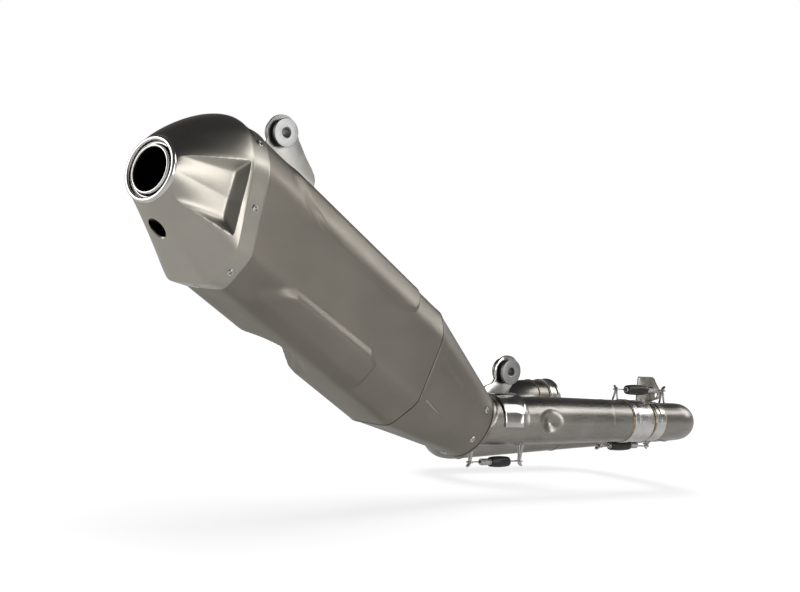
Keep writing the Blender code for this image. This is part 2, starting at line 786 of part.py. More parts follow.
def mid_radius(x):
    """The mid pipe's radius: straight at the rear, then a long taper to the slip joint."""
    share = (x - MID_TAPER_X) / (MID_FRONT_X - MID_TAPER_X)
    return MID_RADIUS + (MID_FRONT_RADIUS - MID_RADIUS) * min(1.0, max(0.0, share))


def mid_ring(x):
    ring = []
    count = 32
    for i in range(count):
        angle = math.tau * i / count
        radius = mid_radius(x)
        around = (angle - math.pi) * radius
        reach = ((x - DENT_X) ** 2 + around**2) / DENT_WIDTH**2
        radius -= DENT_DEPTH * math.exp(-reach * 1.3)
        ring.append((x, radius * math.cos(angle), radius * math.sin(angle)))
    return ring


def build_mid_pipe():
    steps = 9
    around_dent = [DENT_X + DENT_WIDTH * 1.5 * (2 * i / (steps - 1) - 1) for i in range(steps)]
    stations = [MID_REAR_X, *around_dent, MID_TAPER_X, MID_FRONT_X]
    skin("mid_pipe", [mid_ring(x) for x in stations], BRUSHED, pipe_frame, TUBE_WALL)


def build_slip_joint():
    matrix = PIPE_MATRIX @ ALONG_X
    start, stop = MID_FRONT_X + GAP, SOCKET_REAR_X - GAP
    bead = stop - STOP_BEAD_WIDTH
    tip = SOCKET_REAR_X + SPIGOT_INSERTION
    inner = SPIGOT_RADIUS - TUBE_WALL
    spigot = [
        (SPIGOT_RADIUS, tip),
        (SPIGOT_RADIUS, stop),
        (STOP_BEAD_RADIUS - 0.001, stop),
        (STOP_BEAD_RADIUS, stop - 0.001),
        (STOP_BEAD_RADIUS, bead + 0.001),
        (STOP_BEAD_RADIUS - 0.001, bead),
        (STOP_BEAD_RADIUS - 0.001, start),
        (inner, start),
        (inner, tip),
    ]
    turned("joint_spigot", spigot, BRUSHED, matrix, pipe_frame, 24)
    front = header_routes()["right_elbow"][-1].x - GAP
    band = SOCKET_REAR_X + SOCKET_BAND_LENGTH
    neck = SPIGOT_RADIUS + GAP
    socket = [
        (SOCKET_RING_RADIUS, front),
        (SOCKET_RING_RADIUS, front - SOCKET_RING_LENGTH),
        (HEADER_RADIUS + 0.0004, front - SOCKET_RING_LENGTH - 0.002),
        (HEADER_RADIUS + 0.0004, band + 0.006),
        (SOCKET_RADIUS - 0.0006, band + 0.001),
        (SOCKET_RADIUS, band),
        (SOCKET_RADIUS, SOCKET_REAR_X),
        (neck, SOCKET_REAR_X),
        (neck, tip + 0.001),
        (HEADER_RADIUS - TUBE_WALL, tip + 0.003),
        (HEADER_RADIUS - TUBE_WALL, front),
    ]
    turned("joint_socket", socket, POLISHED, matrix, header_frame, 24)


def build_joint_bracket():
    """A small upright plate on the socket, with a bolt hole in its front arm."""
    y = PIPE_Y + 0.010
    rest_z = PIPE_Z + math.sqrt((SOCKET_RING_RADIUS + GAP) ** 2 - 0.010**2)
    top = PIPE_Z + 0.049
    corner = arc((0.108, top - 0.008), 0.008, 90, 20, 5)
    arm = [(0.126, rest_z + 0.012), (0.127, rest_z + 0.004), (0.118, rest_z + 0.003), (0.104, rest_z)]
    outline = [(0.086, rest_z), (0.086, top), *corner, *arm]
    hole = list(reversed(arc((0.119, rest_z + 0.0085), 0.0028, 0, 330, 11)))
    upright = Matrix.Translation((0.0, y, 0.0)) @ Matrix.Rotation(math.radians(90), 4, "X")
    plate("joint_bracket", [outline, hole], PLATE, BRUSHED, upright, header_frame)


# Header -------------------------------------------------------------------------------------------


def header_routes():
    """The centre lines of the header's welded tubes, from the port to the slip joint."""
    port = Vector((-PORT_COLLAR_LENGTH, 0.0, 0.0))
    curl_top = Vector((CURL_X, 0.0, 0.0))
    curl_low = Vector((CURL_X, LEFT_Y, LEFT_REAR_Z))
    front_left = Vector((CROSSING_X, LEFT_Y, LEFT_FRONT_Z))
    front_right = Vector((CROSSING_X, PIPE_Y, PIPE_Z))
    pipe_end = Vector((0.0, PIPE_Y, PIPE_Z))
    curl = bend(port, curl_top, curl_low, CURL_BEND) + bend(curl_top, curl_low, front_left, CURL_BEND)
    left_bend = bend(curl_low, front_left, front_right, FRONT_BEND)
    elbow = bend(front_left, front_right, pipe_end, ELBOW_BEND)
    return {
        "port_tube": [port, curl[0]],
        "header_curl": curl,
        "left_run": [curl[-1], left_bend[0]],
        "front_left_bend": left_bend,
        "front_crossing": [left_bend[-1], elbow[0]],
        "right_elbow": elbow,
    }


def build_header():
    for name, route in header_routes().items():
        tube(name, trimmed(route), HEADER_RADIUS, BRUSHED, header_frame)
    inner = HEADER_RADIUS - TUBE_WALL
    collar = [
        (PORT_COLLAR_RADIUS, 0.0),
        (PORT_COLLAR_RADIUS, -0.003),
        (HEADER_RADIUS + 0.0006, -0.004),
        (HEADER_RADIUS + 0.0006, -0.008),
        (PORT_COLLAR_RADIUS - 0.0006, -0.009),
        (PORT_COLLAR_RADIUS - 0.0006, -PORT_COLLAR_LENGTH),
        (inner, -PORT_COLLAR_LENGTH),
        (inner, 0.0),
    ]
    turned("port_collar", collar, BRUSHED, ALONG_X, header_frame, 24)


# Springs ------------------------------------------------------------------------------------------


def wire(name, points, parent, radius=HOOK_WIRE):
    return tube(name, points, radius, STEEL, parent, None, 2)


def hook(name, foot, up, back, height, parent):
    """A bent rod: it stands on the pipe and its tip curls away from the spring."""
    top = foot + up * (height + HOOK_WIRE)
    tip = top + back * 0.004 + up * 0.0035
    wire(name, [foot, top, tip], parent)


def spring(name, start, end, side, sleeve_start, sleeve_end, parent):
    """A spring between two upright hooks: an eye round each, and a coil in a silicone sleeve."""
    along = (end - start).normalized()
    eye = HOOK_WIRE + SPRING_WIRE + GAP * 4

    def eye_points(centre, inward):
        points = []
        for i in range(8):
            angle = math.radians(25 + 44 * i)
            points.append(centre + inward * eye * math.cos(angle) + side * eye * math.sin(angle))
        return points

    first = list(reversed(eye_points(start, along)))
    last = eye_points(end, -along)
    coil_start = start.lerp(end, 0.20)
    coil_end = start.lerp(end, 0.80)
    route = first + [coil_start - along * 0.004, coil_start, coil_end, coil_end + along * 0.004] + last
    made = wire(name, route, parent, SPRING_WIRE)
    points = made.data.splines[0].points
    for index in (len(first) + 1, len(first) + 2):
        points[index].radius = COIL_RADIUS / SPRING_WIRE
    sleeve = [start.lerp(end, sleeve_start), start.lerp(end, sleeve_end)]
    tube(f"{name}_sleeve", sleeve, SPRING_SLEEVE_RADIUS, RUBBER, parent, SPRING_SLEEVE_WALL, 4)


def build_header_springs():
    """Two springs pull the mid pipe's spigot into the header's socket."""
    rear_x, front_x = HEADER_SPRING_REAR_X, HEADER_SPRING_FRONT_X
    for side, angle in (("top", math.radians(90)), ("bottom", math.radians(-60))):
        up = Vector((0.0, math.cos(angle), math.sin(angle)))
        across = Vector((0.0, -math.sin(angle), math.cos(angle)))
        axis = Vector((0.0, PIPE_Y, PIPE_Z))
        forward = Vector((1.0, 0.0, 0.0))
        reach = SOCKET_RADIUS + HEADER_SPRING_LIFT
        rear_foot = axis + forward * rear_x + up * (mid_radius(rear_x) + GAP + 0.0005)
        front_foot = axis + forward * front_x + up * (SOCKET_RING_RADIUS + GAP)
        rear_height = reach - mid_radius(rear_x)
        front_height = reach - SOCKET_RING_RADIUS
        hook(f"mid_pipe_{side}_hook", rear_foot, up, -forward, rear_height, pipe_frame)
        hook(f"header_{side}_hook", front_foot, up, forward, front_height, header_frame)
        start, end = axis + forward * rear_x + up * reach, axis + forward * front_x + up * reach
        spring(f"header_spring_{side}", start, end, across, 0.22, 0.62, header_frame)


def build_muffler_spring():
    """One spring under the inlet pulls the muffler onto the mid pipe."""
    down = Vector((0.0, 0.0, -1.0))
    forward = Vector((1.0, 0.0, 0.0))
    level = PIPE_Z - MUFFLER_SPRING_DROP
    front_x, rear_x = MUFFLER_SPRING_FRONT_X, MUFFLER_SPRING_REAR_X
    front_foot = Vector((front_x, PIPE_Y, PIPE_Z - MID_RADIUS - GAP - 0.0005))
    hook("mid_pipe_rear_hook", front_foot, down, forward, front_foot.z - level, pipe_frame)
    rear_foot = Vector((rear_x, PIPE_Y, PIPE_Z - INLET_RADIUS - GAP - 0.0005))
    hook("muffler_spring_hook", rear_foot, down, -forward, rear_foot.z - level, muffler_frame)
    start, end = Vector((rear_x, PIPE_Y, level)), Vector((front_x, PIPE_Y, level))
    spring("muffler_spring", start, end, Vector((0.0, 1.0, 0.0)), 0.40, 0.76, pipe_frame)


# Rivets -------------------------------------------------------------------------------------------


def rivet(name, place, outward, parent):
    """A domed head that sits on the sheet."""
    profile = [
        (0.0, RIVET_HEIGHT),
        (RIVET_RADIUS * 0.6, RIVET_HEIGHT),
        (RIVET_RADIUS, 0.0),
        (0.0, 0.0),
    ]
    turned(name, profile, STEEL, facing(place + outward * GAP, outward), parent, 10)


def skin_place(surface, share, angle):
    """A place on a lofted skin and the outward direction there, from nearby places on the skin."""
    step = 0.02
    here = surface(share, angle)
    along = surface(share + step, angle) - surface(share - step, angle)
    around = surface(share, angle + step) - surface(share, angle - step)
    return here, around.cross(along).normalized()


def rim_surface(share, angle):
    """The end cap's rim, with share 0 at its rear edge and 1 at the seam."""
    radius = sleeve_radius(angle, 0.0)
    x = -RIM_LENGTH * (1 - share)
    return Vector((x, radius * math.cos(angle), radius * math.sin(angle) / math.cos(CAP_TILT)))


def cone_surface(share, angle):
    """The front cone, with share 0 at the sleeve and 1 at its small end."""
    radius = sleeve_radius(angle, 0.0)
    start = Vector((SLEEVE_LENGTH + GAP, radius * math.cos(angle), radius * math.sin(angle)))
    across = CONE_END_ACROSS + CONE_END_HALF_WIDTH * math.cos(angle)
    up = CONE_END_RISE + CONE_END_HALF_HEIGHT * math.sin(angle)
    return start.lerp(Vector((SLEEVE_LENGTH + CONE_LENGTH, across, up)), share)


def build_rivets():
    rim_share = 1 + CAP_RIVET_X / RIM_LENGTH
    for i, angle in enumerate(CAP_RIVET_ANGLES):
        local, normal = skin_place(rim_surface, rim_share, math.radians(angle))
        rivet(f"cap_rivet_{i + 1}", CAP_MATRIX @ local, CAP_MATRIX.to_3x3() @ normal, cap_frame)
    for i, angle in enumerate(CONE_RIVET_ANGLES):
        local, normal = skin_place(cone_surface, CONE_RIVET_SHARE, math.radians(angle))
        outward = MUFFLER_MATRIX.to_3x3() @ normal
        rivet(f"cone_rivet_{i + 1}", MUFFLER_MATRIX @ local, outward, muffler_frame)


build_sleeve()
build_end_cap()
build_outlet()
build_lock_screw()
build_front_cone()
build_inlet()
build_inlet_flange()
build_core()
build_packing()
build_rear_bracket()
build_front_bracket()
build_mount_bush("rear", REAR_BUSH)
build_mount_bush("front", FRONT_BUSH)
build_mid_pipe()
build_slip_joint()
build_joint_bracket()
build_header()
build_header_springs()
build_muffler_spring()
build_rivets()
bpy.context.view_layer.update()
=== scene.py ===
"""The looks of a titanium motocross exhaust system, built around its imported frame."""

import math

import bpy
import numpy as np
from mathutils import Matrix, Vector


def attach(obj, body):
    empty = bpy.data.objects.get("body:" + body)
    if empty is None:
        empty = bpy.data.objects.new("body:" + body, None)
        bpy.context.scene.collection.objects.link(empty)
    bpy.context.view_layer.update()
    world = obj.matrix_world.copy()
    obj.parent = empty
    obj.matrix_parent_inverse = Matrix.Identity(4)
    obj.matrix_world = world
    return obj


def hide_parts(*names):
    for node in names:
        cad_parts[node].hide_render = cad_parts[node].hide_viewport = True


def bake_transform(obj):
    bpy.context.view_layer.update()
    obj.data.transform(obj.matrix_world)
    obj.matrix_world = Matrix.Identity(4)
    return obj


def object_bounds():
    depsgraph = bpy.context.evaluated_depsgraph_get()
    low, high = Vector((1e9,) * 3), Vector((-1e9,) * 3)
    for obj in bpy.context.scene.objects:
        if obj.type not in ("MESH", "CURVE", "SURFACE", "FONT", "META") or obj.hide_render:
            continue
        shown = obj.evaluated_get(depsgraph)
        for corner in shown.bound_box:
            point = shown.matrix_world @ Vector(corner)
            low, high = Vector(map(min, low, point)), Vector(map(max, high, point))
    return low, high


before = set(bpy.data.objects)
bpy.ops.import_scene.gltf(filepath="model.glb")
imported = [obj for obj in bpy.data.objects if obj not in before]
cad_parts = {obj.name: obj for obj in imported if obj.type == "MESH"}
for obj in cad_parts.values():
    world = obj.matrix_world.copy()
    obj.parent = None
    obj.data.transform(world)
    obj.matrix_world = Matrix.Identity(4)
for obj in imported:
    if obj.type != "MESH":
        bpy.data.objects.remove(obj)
cad_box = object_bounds()
bpy.ops.object.select_all(action="DESELECT")

# Muffler sleeve -----------------------------------------------------------------------------------
# The muffler's body: one blank of thin titanium sheet, rolled to flats with soft corners between
# them. A long rib is pressed out along the top and the bottom of each side, and the lower left edge
# is pressed in to clear the wheel. The outside is blasted to a dull, warm grey.

REAR_SEAM = Vector((-0.5400, -0.1403, 0.1660))
YAW = math.radians(12.0)
SLEEVE_SLOPE = math.radians(27.0)
SLEEVE_LENGTH = 0.274
SHEET = 0.0012
# The flats of the section as (direction in degrees, distance from the muffler's axis).
SIDE_FLAT = (0.0, 0.046)
CROWN_FLAT, FLOOR_FLAT = (90.0, 0.066), (-90.0, 0.064)
CHAMFERS = ((28.4, 0.0557), (63.4, 0.0648), (-39.2, 0.0590))
CORNER_SHARPNESS = 26


def aimed(slope):
    """The frame of a pressing on the muffler's line: +X forward and down by the slope."""
    turn = Matrix.Rotation(YAW, 4, "Z") @ Matrix.Rotation(slope, 4, "Y")
    return Matrix.Translation(REAR_SEAM) @ turn


MUFFLER = aimed(SLEEVE_SLOPE)


def outline(angle, inset=0.0):
    """Distance from the muffler's axis to the sheet, in each of the directions."""
    flats = [SIDE_FLAT, CROWN_FLAT, FLOOR_FLAT, *CHAMFERS]
    flats += [(180.0 - direction, distance) for direction, distance in (SIDE_FLAT, *CHAMFERS)]
    total = np.zeros_like(angle)
    for direction, distance in flats:
        share = np.cos(angle - math.radians(direction)) / (distance - inset)
        total += np.maximum(0.0, share) ** CORNER_SHARPNESS
    return total ** (-1 / CORNER_SHARPNESS)


def eased(low, high, value):
    """0 below low, 1 above high, and a smooth rise between them."""
    share = np.clip((value - low) / (high - low), 0.0, 1.0)
    return share * share * (3 - 2 * share)


def crowded(start, end, count, crowds):
    """Places from start to end that lie closer together in each crowd (middle, half width, weight)."""
    fine = np.linspace(start, end, count * 40)
    density = np.ones_like(fine)
    for middle, half_width, weight in crowds:
        density += weight * np.exp(-(((fine - middle) / half_width) ** 2))
    total = np.concatenate(([0.0], np.cumsum((density[1:] + density[:-1]) / 2)))
    return np.interp(np.linspace(0.0, total[-1], count), total, fine)


def ring_angles(count):
    """Directions around the muffler, crowded where the side ribs have their edges."""
    half = crowded(-math.pi / 2, math.pi / 2, count // 2 + 1, ((0.53, 0.10, 1.6), (-0.62, 0.12, 1.3)))
    return np.concatenate((half[:-1], (math.pi - half[::-1])[:-1]))


def inside(x, y, corners):
    """How far each place lies inside a closed outline, negative outside it."""
    nearest = np.full(x.shape, 1e9)
    within = np.zeros(x.shape, bool)
    for (ax, ay), (bx, by) in zip(corners, corners[1:] + corners[:1]):
        run, rise = bx - ax, by - ay
        share = np.clip(((x - ax) * run + (y - ay) * rise) / (run * run + rise * rise), 0.0, 1.0)
        nearest = np.minimum(nearest, np.hypot(x - ax - share * run, y - ay - share * rise))
        crosses = (ay > y) != (by > y)
        within ^= crosses & (x < ax + run * (y - ay) / (rise if rise else 1e-12))
    return np.where(within, nearest, -nearest)


UPPER_RIB = [(0.014, 0.090), (0.022, 0.062), (0.037, 0.043), (0.052, 0.034), (0.074, 0.0268)]
UPPER_RIB += [(0.114, 0.0258), (0.212, 0.0275), (0.221, 0.0305), (0.227, 0.039), (0.236, 0.090)]
LOWER_RIB = [(0.040, -0.090), (0.044, -0.052), (0.060, -0.041), (0.075, -0.0335), (0.186, -0.030)]
LOWER_RIB += [(0.198, -0.037), (0.203, -0.054), (0.207, -0.090)]
UPPER_RIB_HEIGHT, LOWER_RIB_HEIGHT = 0.0028, 0.0040


def sleeve_relief(x, up):
    """How far the two pressed ribs of a side stand out."""
    sharp = eased(0.040, 0.080, x)
    width = 0.0110 * (1 - sharp) + 0.0022 * sharp
    upper = eased(-0.5, 0.5, inside(x, up, UPPER_RIB) / width) * (1 - eased(0.050, 0.064, up))
    width = 0.0100 - 0.0022 * eased(0.052, 0.078, x)
    lower = eased(-0.5, 0.5, inside(x, up, LOWER_RIB) / width) * eased(-0.063, -0.050, up)
    return upper * UPPER_RIB_HEIGHT + lower * LOWER_RIB_HEIGHT


def wheel_dent(x, across, up):
    """How far the lower left edge is pressed in."""
    along = (x - 0.138) / 0.043
    around = (np.arctan2(up, across) - math.radians(-60)) / math.radians(40)
    return 0.024 * np.maximum(0.0, 1 - along * along - around * around) ** 1.15


def turn_faces_outward():
    """Turns the faces of the active piece outward."""
    bpy.ops.object.mode_set(mode="EDIT")
    bpy.ops.mesh.select_all(action="SELECT")
    bpy.ops.mesh.normals_make_consistent(inside=False)
    bpy.ops.object.mode_set(mode="OBJECT")


def laid_skin(name, rings, matrix):
    """A closed skin of sheet: a ring-shaped primitive whose rings are laid one by one over the form."""
    bpy.ops.mesh.primitive_torus_add(major_segments=rings.shape[0], minor_segments=rings.shape[1])
    piece = bpy.context.object
    piece.name = name
    piece.data.vertices.foreach_set("co", rings.reshape(-1).astype(np.float32))
    piece.data.transform(matrix)
    turn_faces_outward()
    bpy.ops.object.shade_smooth_by_angle(angle=math.radians(38))
    piece.select_set(False)
    return piece


CAP_SLOPE = math.radians(10.5)
CAP_TILT = math.tan(SLEEVE_SLOPE - CAP_SLOPE)


def sleeve_ring(x, angles, inset, relief=1.0):
    """One ring of the sleeve. The rear rings lean, because the rear seam is square to the end cap."""
    radius = outline(angles, inset)
    across, up = radius * np.cos(angles), radius * np.sin(angles)
    lean = 1 - eased(-0.010, 0.110, x)
    place = x - lean * up * CAP_TILT
    pressed = (sleeve_relief(place, up) - wheel_dent(place, across, up)) * relief
    share = 1 + pressed / radius
    return np.stack((place, across * share, up * share), axis=-1)


def build_sleeve():
    angles = ring_angles(256)
    crowds = ((0.055, 0.022, 0.5), (0.198, 0.012, 1.4), (0.224, 0.010, 1.2), (0.135, 0.040, 0.3))
    stations = crowded(0.0004, SLEEVE_LENGTH - 0.0004, 176, crowds)
    outer = [sleeve_ring(-0.0125, angles, 0.0016), sleeve_ring(-0.0004, angles, 0.0016)]
    outer += [sleeve_ring(x, angles, 0.0) for x in stations]
    outer += [sleeve_ring(SLEEVE_LENGTH + 0.0004, angles, 0.0016)]
    inner = [sleeve_ring(x, angles, SHEET) for x in np.linspace(SLEEVE_LENGTH - 0.002, 0.002, 26)]
    inner += [sleeve_ring(-0.0004, angles, 0.0026), sleeve_ring(-0.0125, angles, 0.0026)]
    return laid_skin("sleeve_shell", np.array(outer + inner), MUFFLER)


def new_material(name):
    """A material with its Principled shader, and a way to add nodes to it."""
    made = bpy.data.materials.new(name)
    made.use_nodes = True
    nodes, links = made.node_tree.nodes, made.node_tree.links
    return made, nodes, links, nodes["Principled BSDF"]


def new_group(name, inputs, outputs):
    """A shader node group with named inputs and outputs, given as (name, kind, default)."""
    group = bpy.data.node_groups.new(name, "ShaderNodeTree")
    for socket, kind, default in inputs:
        made = group.interface.new_socket(socket, in_out="INPUT", socket_type=f"NodeSocket{kind}")
        made.default_value = default
    for socket, kind in outputs:
        group.interface.new_socket(socket, in_out="OUTPUT", socket_type=f"NodeSocket{kind}")
    nodes = group.nodes
    return group, nodes, group.links, nodes.new("NodeGroupInput"), nodes.new("NodeGroupOutput")


def object_noise(nodes, links, scale, detail=2.0, stretch=(1.0, 1.0, 1.0)):
    """Noise over the object's own coordinates, stretched along an axis where a scale is small."""
    where = nodes.new("ShaderNodeTexCoord")
    mapping = nodes.new("ShaderNodeMapping")
    mapping.inputs["Scale"].default_value = stretch
    noise = nodes.new("ShaderNodeTexNoise")
    noise.inputs["Scale"].default_value = scale
    noise.inputs["Detail"].default_value = detail
    links.new(where.outputs["Object"], mapping.inputs["Vector"])
    links.new(mapping.outputs["Vector"], noise.inputs["Vector"])
    return noise


def shift(nodes, links, source, low, high, start=0.3, end=0.7):
    """Maps a value from start..end to low..high."""
    node = nodes.new("ShaderNodeMapRange")
    for socket, value in zip(("From Min", "From Max", "To Min", "To Max"), (start, end, low, high)):
        node.inputs[socket].default_value = value
    links.new(source, node.inputs["Value"])
    return node.outputs["Result"]


def blend_colours(nodes, links, share, first, second, mode="MIX"):
    """A colour mix. Each colour is a socket, or a plain colour."""
    mix = nodes.new("ShaderNodeMix")
    mix.data_type = "RGBA"
    mix.blend_type = mode
    for socket, value in ((mix.inputs[0], share), (mix.inputs[6], first), (mix.inputs[7], second)):
        if hasattr(value, "node"):
            links.new(value, socket)
        else:
            socket.default_value = value
    return mix.outputs[2]


def build_sheet_tone():
    """The slow change of tone of blasted or brushed sheet, with faint wiped streaks along it."""
    outputs = (("Tone", "Float"), ("Smudge", "Float"))
    group, nodes, links, _, out = new_group("sheet_tone", (), outputs)
    clouds = object_noise(nodes, links, 11.0, 3.0)
    links.new(shift(nodes, links, clouds.outputs["Fac"], 0.0, 1.0), out.inputs["Tone"])
    streaks = object_noise(nodes, links, 60.0, 4.0, (0.22, 1.0, 1.0))
    links.new(shift(nodes, links, streaks.outputs["Fac"], 0.0, 1.0), out.inputs["Smudge"])
    return group


SHEET_TONE = build_sheet_tone()


def build_blast_grain():
    """The pin-point texture that glass beads leave on a metal surface."""
    group, nodes, links, _, out = new_group("blast_grain", (), (("Height", "Float"), ("Fleck", "Float")))
    fine = object_noise(nodes, links, 2300.0, 2.0)
    coarse = object_noise(nodes, links, 900.0, 2.0)
    total = nodes.new("ShaderNodeMath")
    total.operation = "ADD"
    links.new(fine.outputs["Fac"], total.inputs[0])
    links.new(coarse.outputs["Fac"], total.inputs[1])
    links.new(total.outputs["Value"], out.inputs["Height"])
    links.new(shift(nodes, links, fine.outputs["Fac"], 0.0, 1.0), out.inputs["Fleck"])
    return group


BLAST_GRAIN = build_blast_grain()


def placed_group(nodes, group):
    node = nodes.new("ShaderNodeGroup")
    node.node_tree = group
    return node


def add_bump(nodes, links, shader, height, strength, distance):
    bump = nodes.new("ShaderNodeBump")
    bump.inputs["Strength"].default_value = strength
    bump.inputs["Distance"].default_value = distance
    links.new(height, bump.inputs["Height"])
    links.new(bump.outputs["Normal"], shader.inputs["Normal"])


def toned_metal(name, noise, dark, light, rough, strength=0.0, distance=0.0001, spread=(0.3, 0.7)):
    """A metal whose tone, roughness and fine relief follow one noise: (scale, detail, stretch)."""
    made, nodes, links, shader = new_material(name)
    marks = object_noise(nodes, links, *noise).outputs["Fac"]
    tone = shift(nodes, links, marks, 0.0, 1.0, *spread)
    links.new(blend_colours(nodes, links, tone, (*dark, 1), (*light, 1)), shader.inputs["Base Color"])
    links.new(shift(nodes, links, marks, *rough), shader.inputs["Roughness"])
    shader.inputs["Metallic"].default_value = 1.0
    add_bump(nodes, links, shader, marks, strength, distance)
    return made


def blasted(name, dark, light, roughness):
    """Bead-blasted titanium between a dark and a light tone."""
    made, nodes, links, shader = new_material(name)
    tone, grain = placed_group(nodes, SHEET_TONE), placed_group(nodes, BLAST_GRAIN)
    colour = blend_colours(nodes, links, tone.outputs["Tone"], (*dark, 1), (*light, 1))
    flecked = blend_colours(nodes, links, grain.outputs["Fleck"], (0.90, 0.90, 0.90, 1), (1, 1, 1, 1))
    colour = blend_colours(nodes, links, 1.0, colour, flecked, "MULTIPLY")
    links.new(colour, shader.inputs["Base Color"])
    rough = shift(nodes, links, tone.outputs["Smudge"], roughness - 0.03, roughness + 0.03, 0.0, 1.0)
    links.new(rough, shader.inputs["Roughness"])
    shader.inputs["Metallic"].default_value = 1.0
    add_bump(nodes, links, shader, grain.outputs["Height"], 0.20, 0.0002)
    return made


SLEEVE_FINISH = blasted("dark_blasted_titanium", (0.262, 0.238, 0.204), (0.312, 0.284, 0.243), 0.42)


def settle(piece, slot, body, *nodes):
    """Says what a piece moves with and which solids it stands for; the slot that it is given is not used."""
    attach(piece, body)
    if nodes:
        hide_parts(*nodes)


def finish_piece(piece, material, slot, body, *nodes):
    piece.data.materials.clear()
    piece.data.materials.append(material)
    settle(piece, slot, body, *nodes)
    return piece


finish_piece(build_sleeve(), SLEEVE_FINISH, "blasted_titanium", "muffler", "muffler_sleeve")

# End cap ------------------------------------------------------------------------------------------
# A pressed titanium cone that closes the rear of the muffler. Its rim is a plain band riveted over
# the sleeve, and a flaring panel is pressed into each side. It is blasted with finer beads than the
# sleeve, so it is lighter and brighter.

CAP = aimed(CAP_SLOPE)
CAP_RIM, CAP_LENGTH = 0.0180, 0.0835
OUTLET_UP, OUTLET_ACROSS = 0.0082, -0.0012
CAP_THROAT = 0.0264
CROWN_BULGE, KEEL_BULGE, SIDE_BULGE = 0.0080, -0.0020, 0.0010
RIM_PROUD = 0.0006


def cap_panel(x, up):
    """The depth of the side panel: three sloping walls and a floor that comes out at the outlet."""
    top_edge = 0.0215 + (x + 0.080) / 0.0555 * 0.0125
    low_edge = -0.0115 - (x + 0.080) / 0.0555 * 0.0155
    floor = 0.0086 * np.clip((x + 0.083) / 0.056, 0.0, 1.0)
    walls = np.stack((floor, (-0.0235 - x) * 1.6, (top_edge - up) * 1.05, (up - low_edge) * 0.85))
    softness = 0.0013
    return np.maximum(0.0, -softness * np.log(np.exp(-np.clip(walls, -0.02, 0.03) / softness).sum(0)))


def cap_ring(x, angles, inset=0.0, relief=1.0):
    """One ring of the end cap, from the rim's band to the round throat."""
    radius = outline(angles, inset - RIM_PROUD)
    lift = 1 / math.cos(SLEEVE_SLOPE - CAP_SLOPE)
    rim_across, rim_up = radius * np.cos(angles), radius * np.sin(angles) * lift
    throat = CAP_THROAT - inset
    throat_across = OUTLET_ACROSS + throat * np.cos(angles)
    throat_up = OUTLET_UP + throat * np.sin(angles)
    share = max(0.0, (-x - CAP_RIM) / (CAP_LENGTH - CAP_RIM))
    bend = share - 0.018 * (1 - math.exp(-share / 0.05)) * (1 - share)
    height = np.sin(angles)
    swell = CROWN_BULGE * np.maximum(0.0, height) + KEEL_BULGE * np.maximum(0.0, -height) + SIDE_BULGE
    swell = swell * max(0.0, math.sin(math.pi * min(1.0, share) ** 0.8)) ** 0.55
    across = rim_across + (throat_across - rim_across) * bend + swell * np.cos(angles)
    up = rim_up + (throat_up - rim_up) * bend + swell * np.sin(angles)
    depth = cap_panel(np.full_like(up, x), up) * (np.abs(np.cos(angles)) > 0.3) * relief
    across = across - np.sign(np.cos(angles)) * depth
    return np.stack((np.full_like(up, x), across, up), axis=-1)


def build_cap():
    half = crowded(-math.pi / 2, math.pi / 2, 129, ((0.62, 0.22, 1.4), (-0.42, 0.24, 1.2), (0.0, 0.3, 0.6)))
    angles = np.concatenate((half[:-1], (math.pi - half[::-1])[:-1]))
    stations = crowded(-0.0006, -CAP_LENGTH, 118, ((-0.020, 0.006, 2.0), (-0.027, 0.004, 1.5)))
    outer = [cap_ring(0.0006, angles, 0.0010), cap_ring(0.0006, angles, 0.0003)]
    outer += [cap_ring(x, angles) for x in stations]
    inner = [cap_ring(x, angles, SHEET) for x in np.linspace(-CAP_LENGTH, -0.004, 40)]
    inner[-1] = cap_ring(-0.0005, angles, 0.0010)
    piece = laid_skin("end_cap_shell", np.array(outer + inner), CAP)
    return piece


CAP_FINISH = blasted("light_blasted_titanium", (0.480, 0.452, 0.400), (0.530, 0.500, 0.442), 0.335)
cap_shell = build_cap()

# Front cone ---------------------------------------------------------------------------------------
# A titanium pressing that narrows from the sleeve to an oval around the inlet. A tapering panel is
# pressed into each side, and a fine rolled edge shows where the sleeve's lip slides in. It has the
# sleeve's finish.

CONE_LENGTH = 0.137
OVAL_WIDTH, OVAL_HEIGHT, OVAL_ACROSS, OVAL_UP = 0.0300, 0.0380, -0.0018, 0.003


def cone_panel(x, up):
    """The depth of the side panel, which is deepest beside the sleeve and runs out forward."""
    along = (x - 0.286) / 0.055
    top_edge, low_edge = 0.0175 - along * 0.0075, -0.0300 + along * 0.0015
    floor = 0.0034 * np.clip(1.02 - along, 0.0, 1.0)
    walls = np.stack((floor, (x - 0.2855) * 0.85, (top_edge - up) * 1.2, (up - low_edge) * 0.75))
    softness = 0.0003
    return np.maximum(0.0, -softness * np.log(np.exp(-np.clip(walls, -0.01, 0.02) / softness).sum(0)))


def cone_ring(x, angles, inset=0.0, relief=1.0):
    radius = outline(angles, inset)
    share = np.clip((x - SLEEVE_LENGTH) / CONE_LENGTH, 0.0, 1.0)
    end_across = OVAL_ACROSS + (OVAL_WIDTH - inset) * np.cos(angles)
    end_up = OVAL_UP + (OVAL_HEIGHT - inset) * np.sin(angles)
    across = radius * np.cos(angles) * (1 - share) + end_across * share
    up = radius * np.sin(angles) * (1 - share) + end_up * share
    depth = cone_panel(np.full_like(up, x), up) * (np.abs(np.cos(angles)) > 0.3) * relief
    roll = 0.0006 * math.exp(-(((x - SLEEVE_LENGTH - 0.0016) / 0.0012) ** 2)) * relief
    across = across - np.sign(np.cos(angles)) * depth + roll * np.cos(angles)
    return np.stack((np.full_like(up, x), across, up + roll * np.sin(angles)), axis=-1)


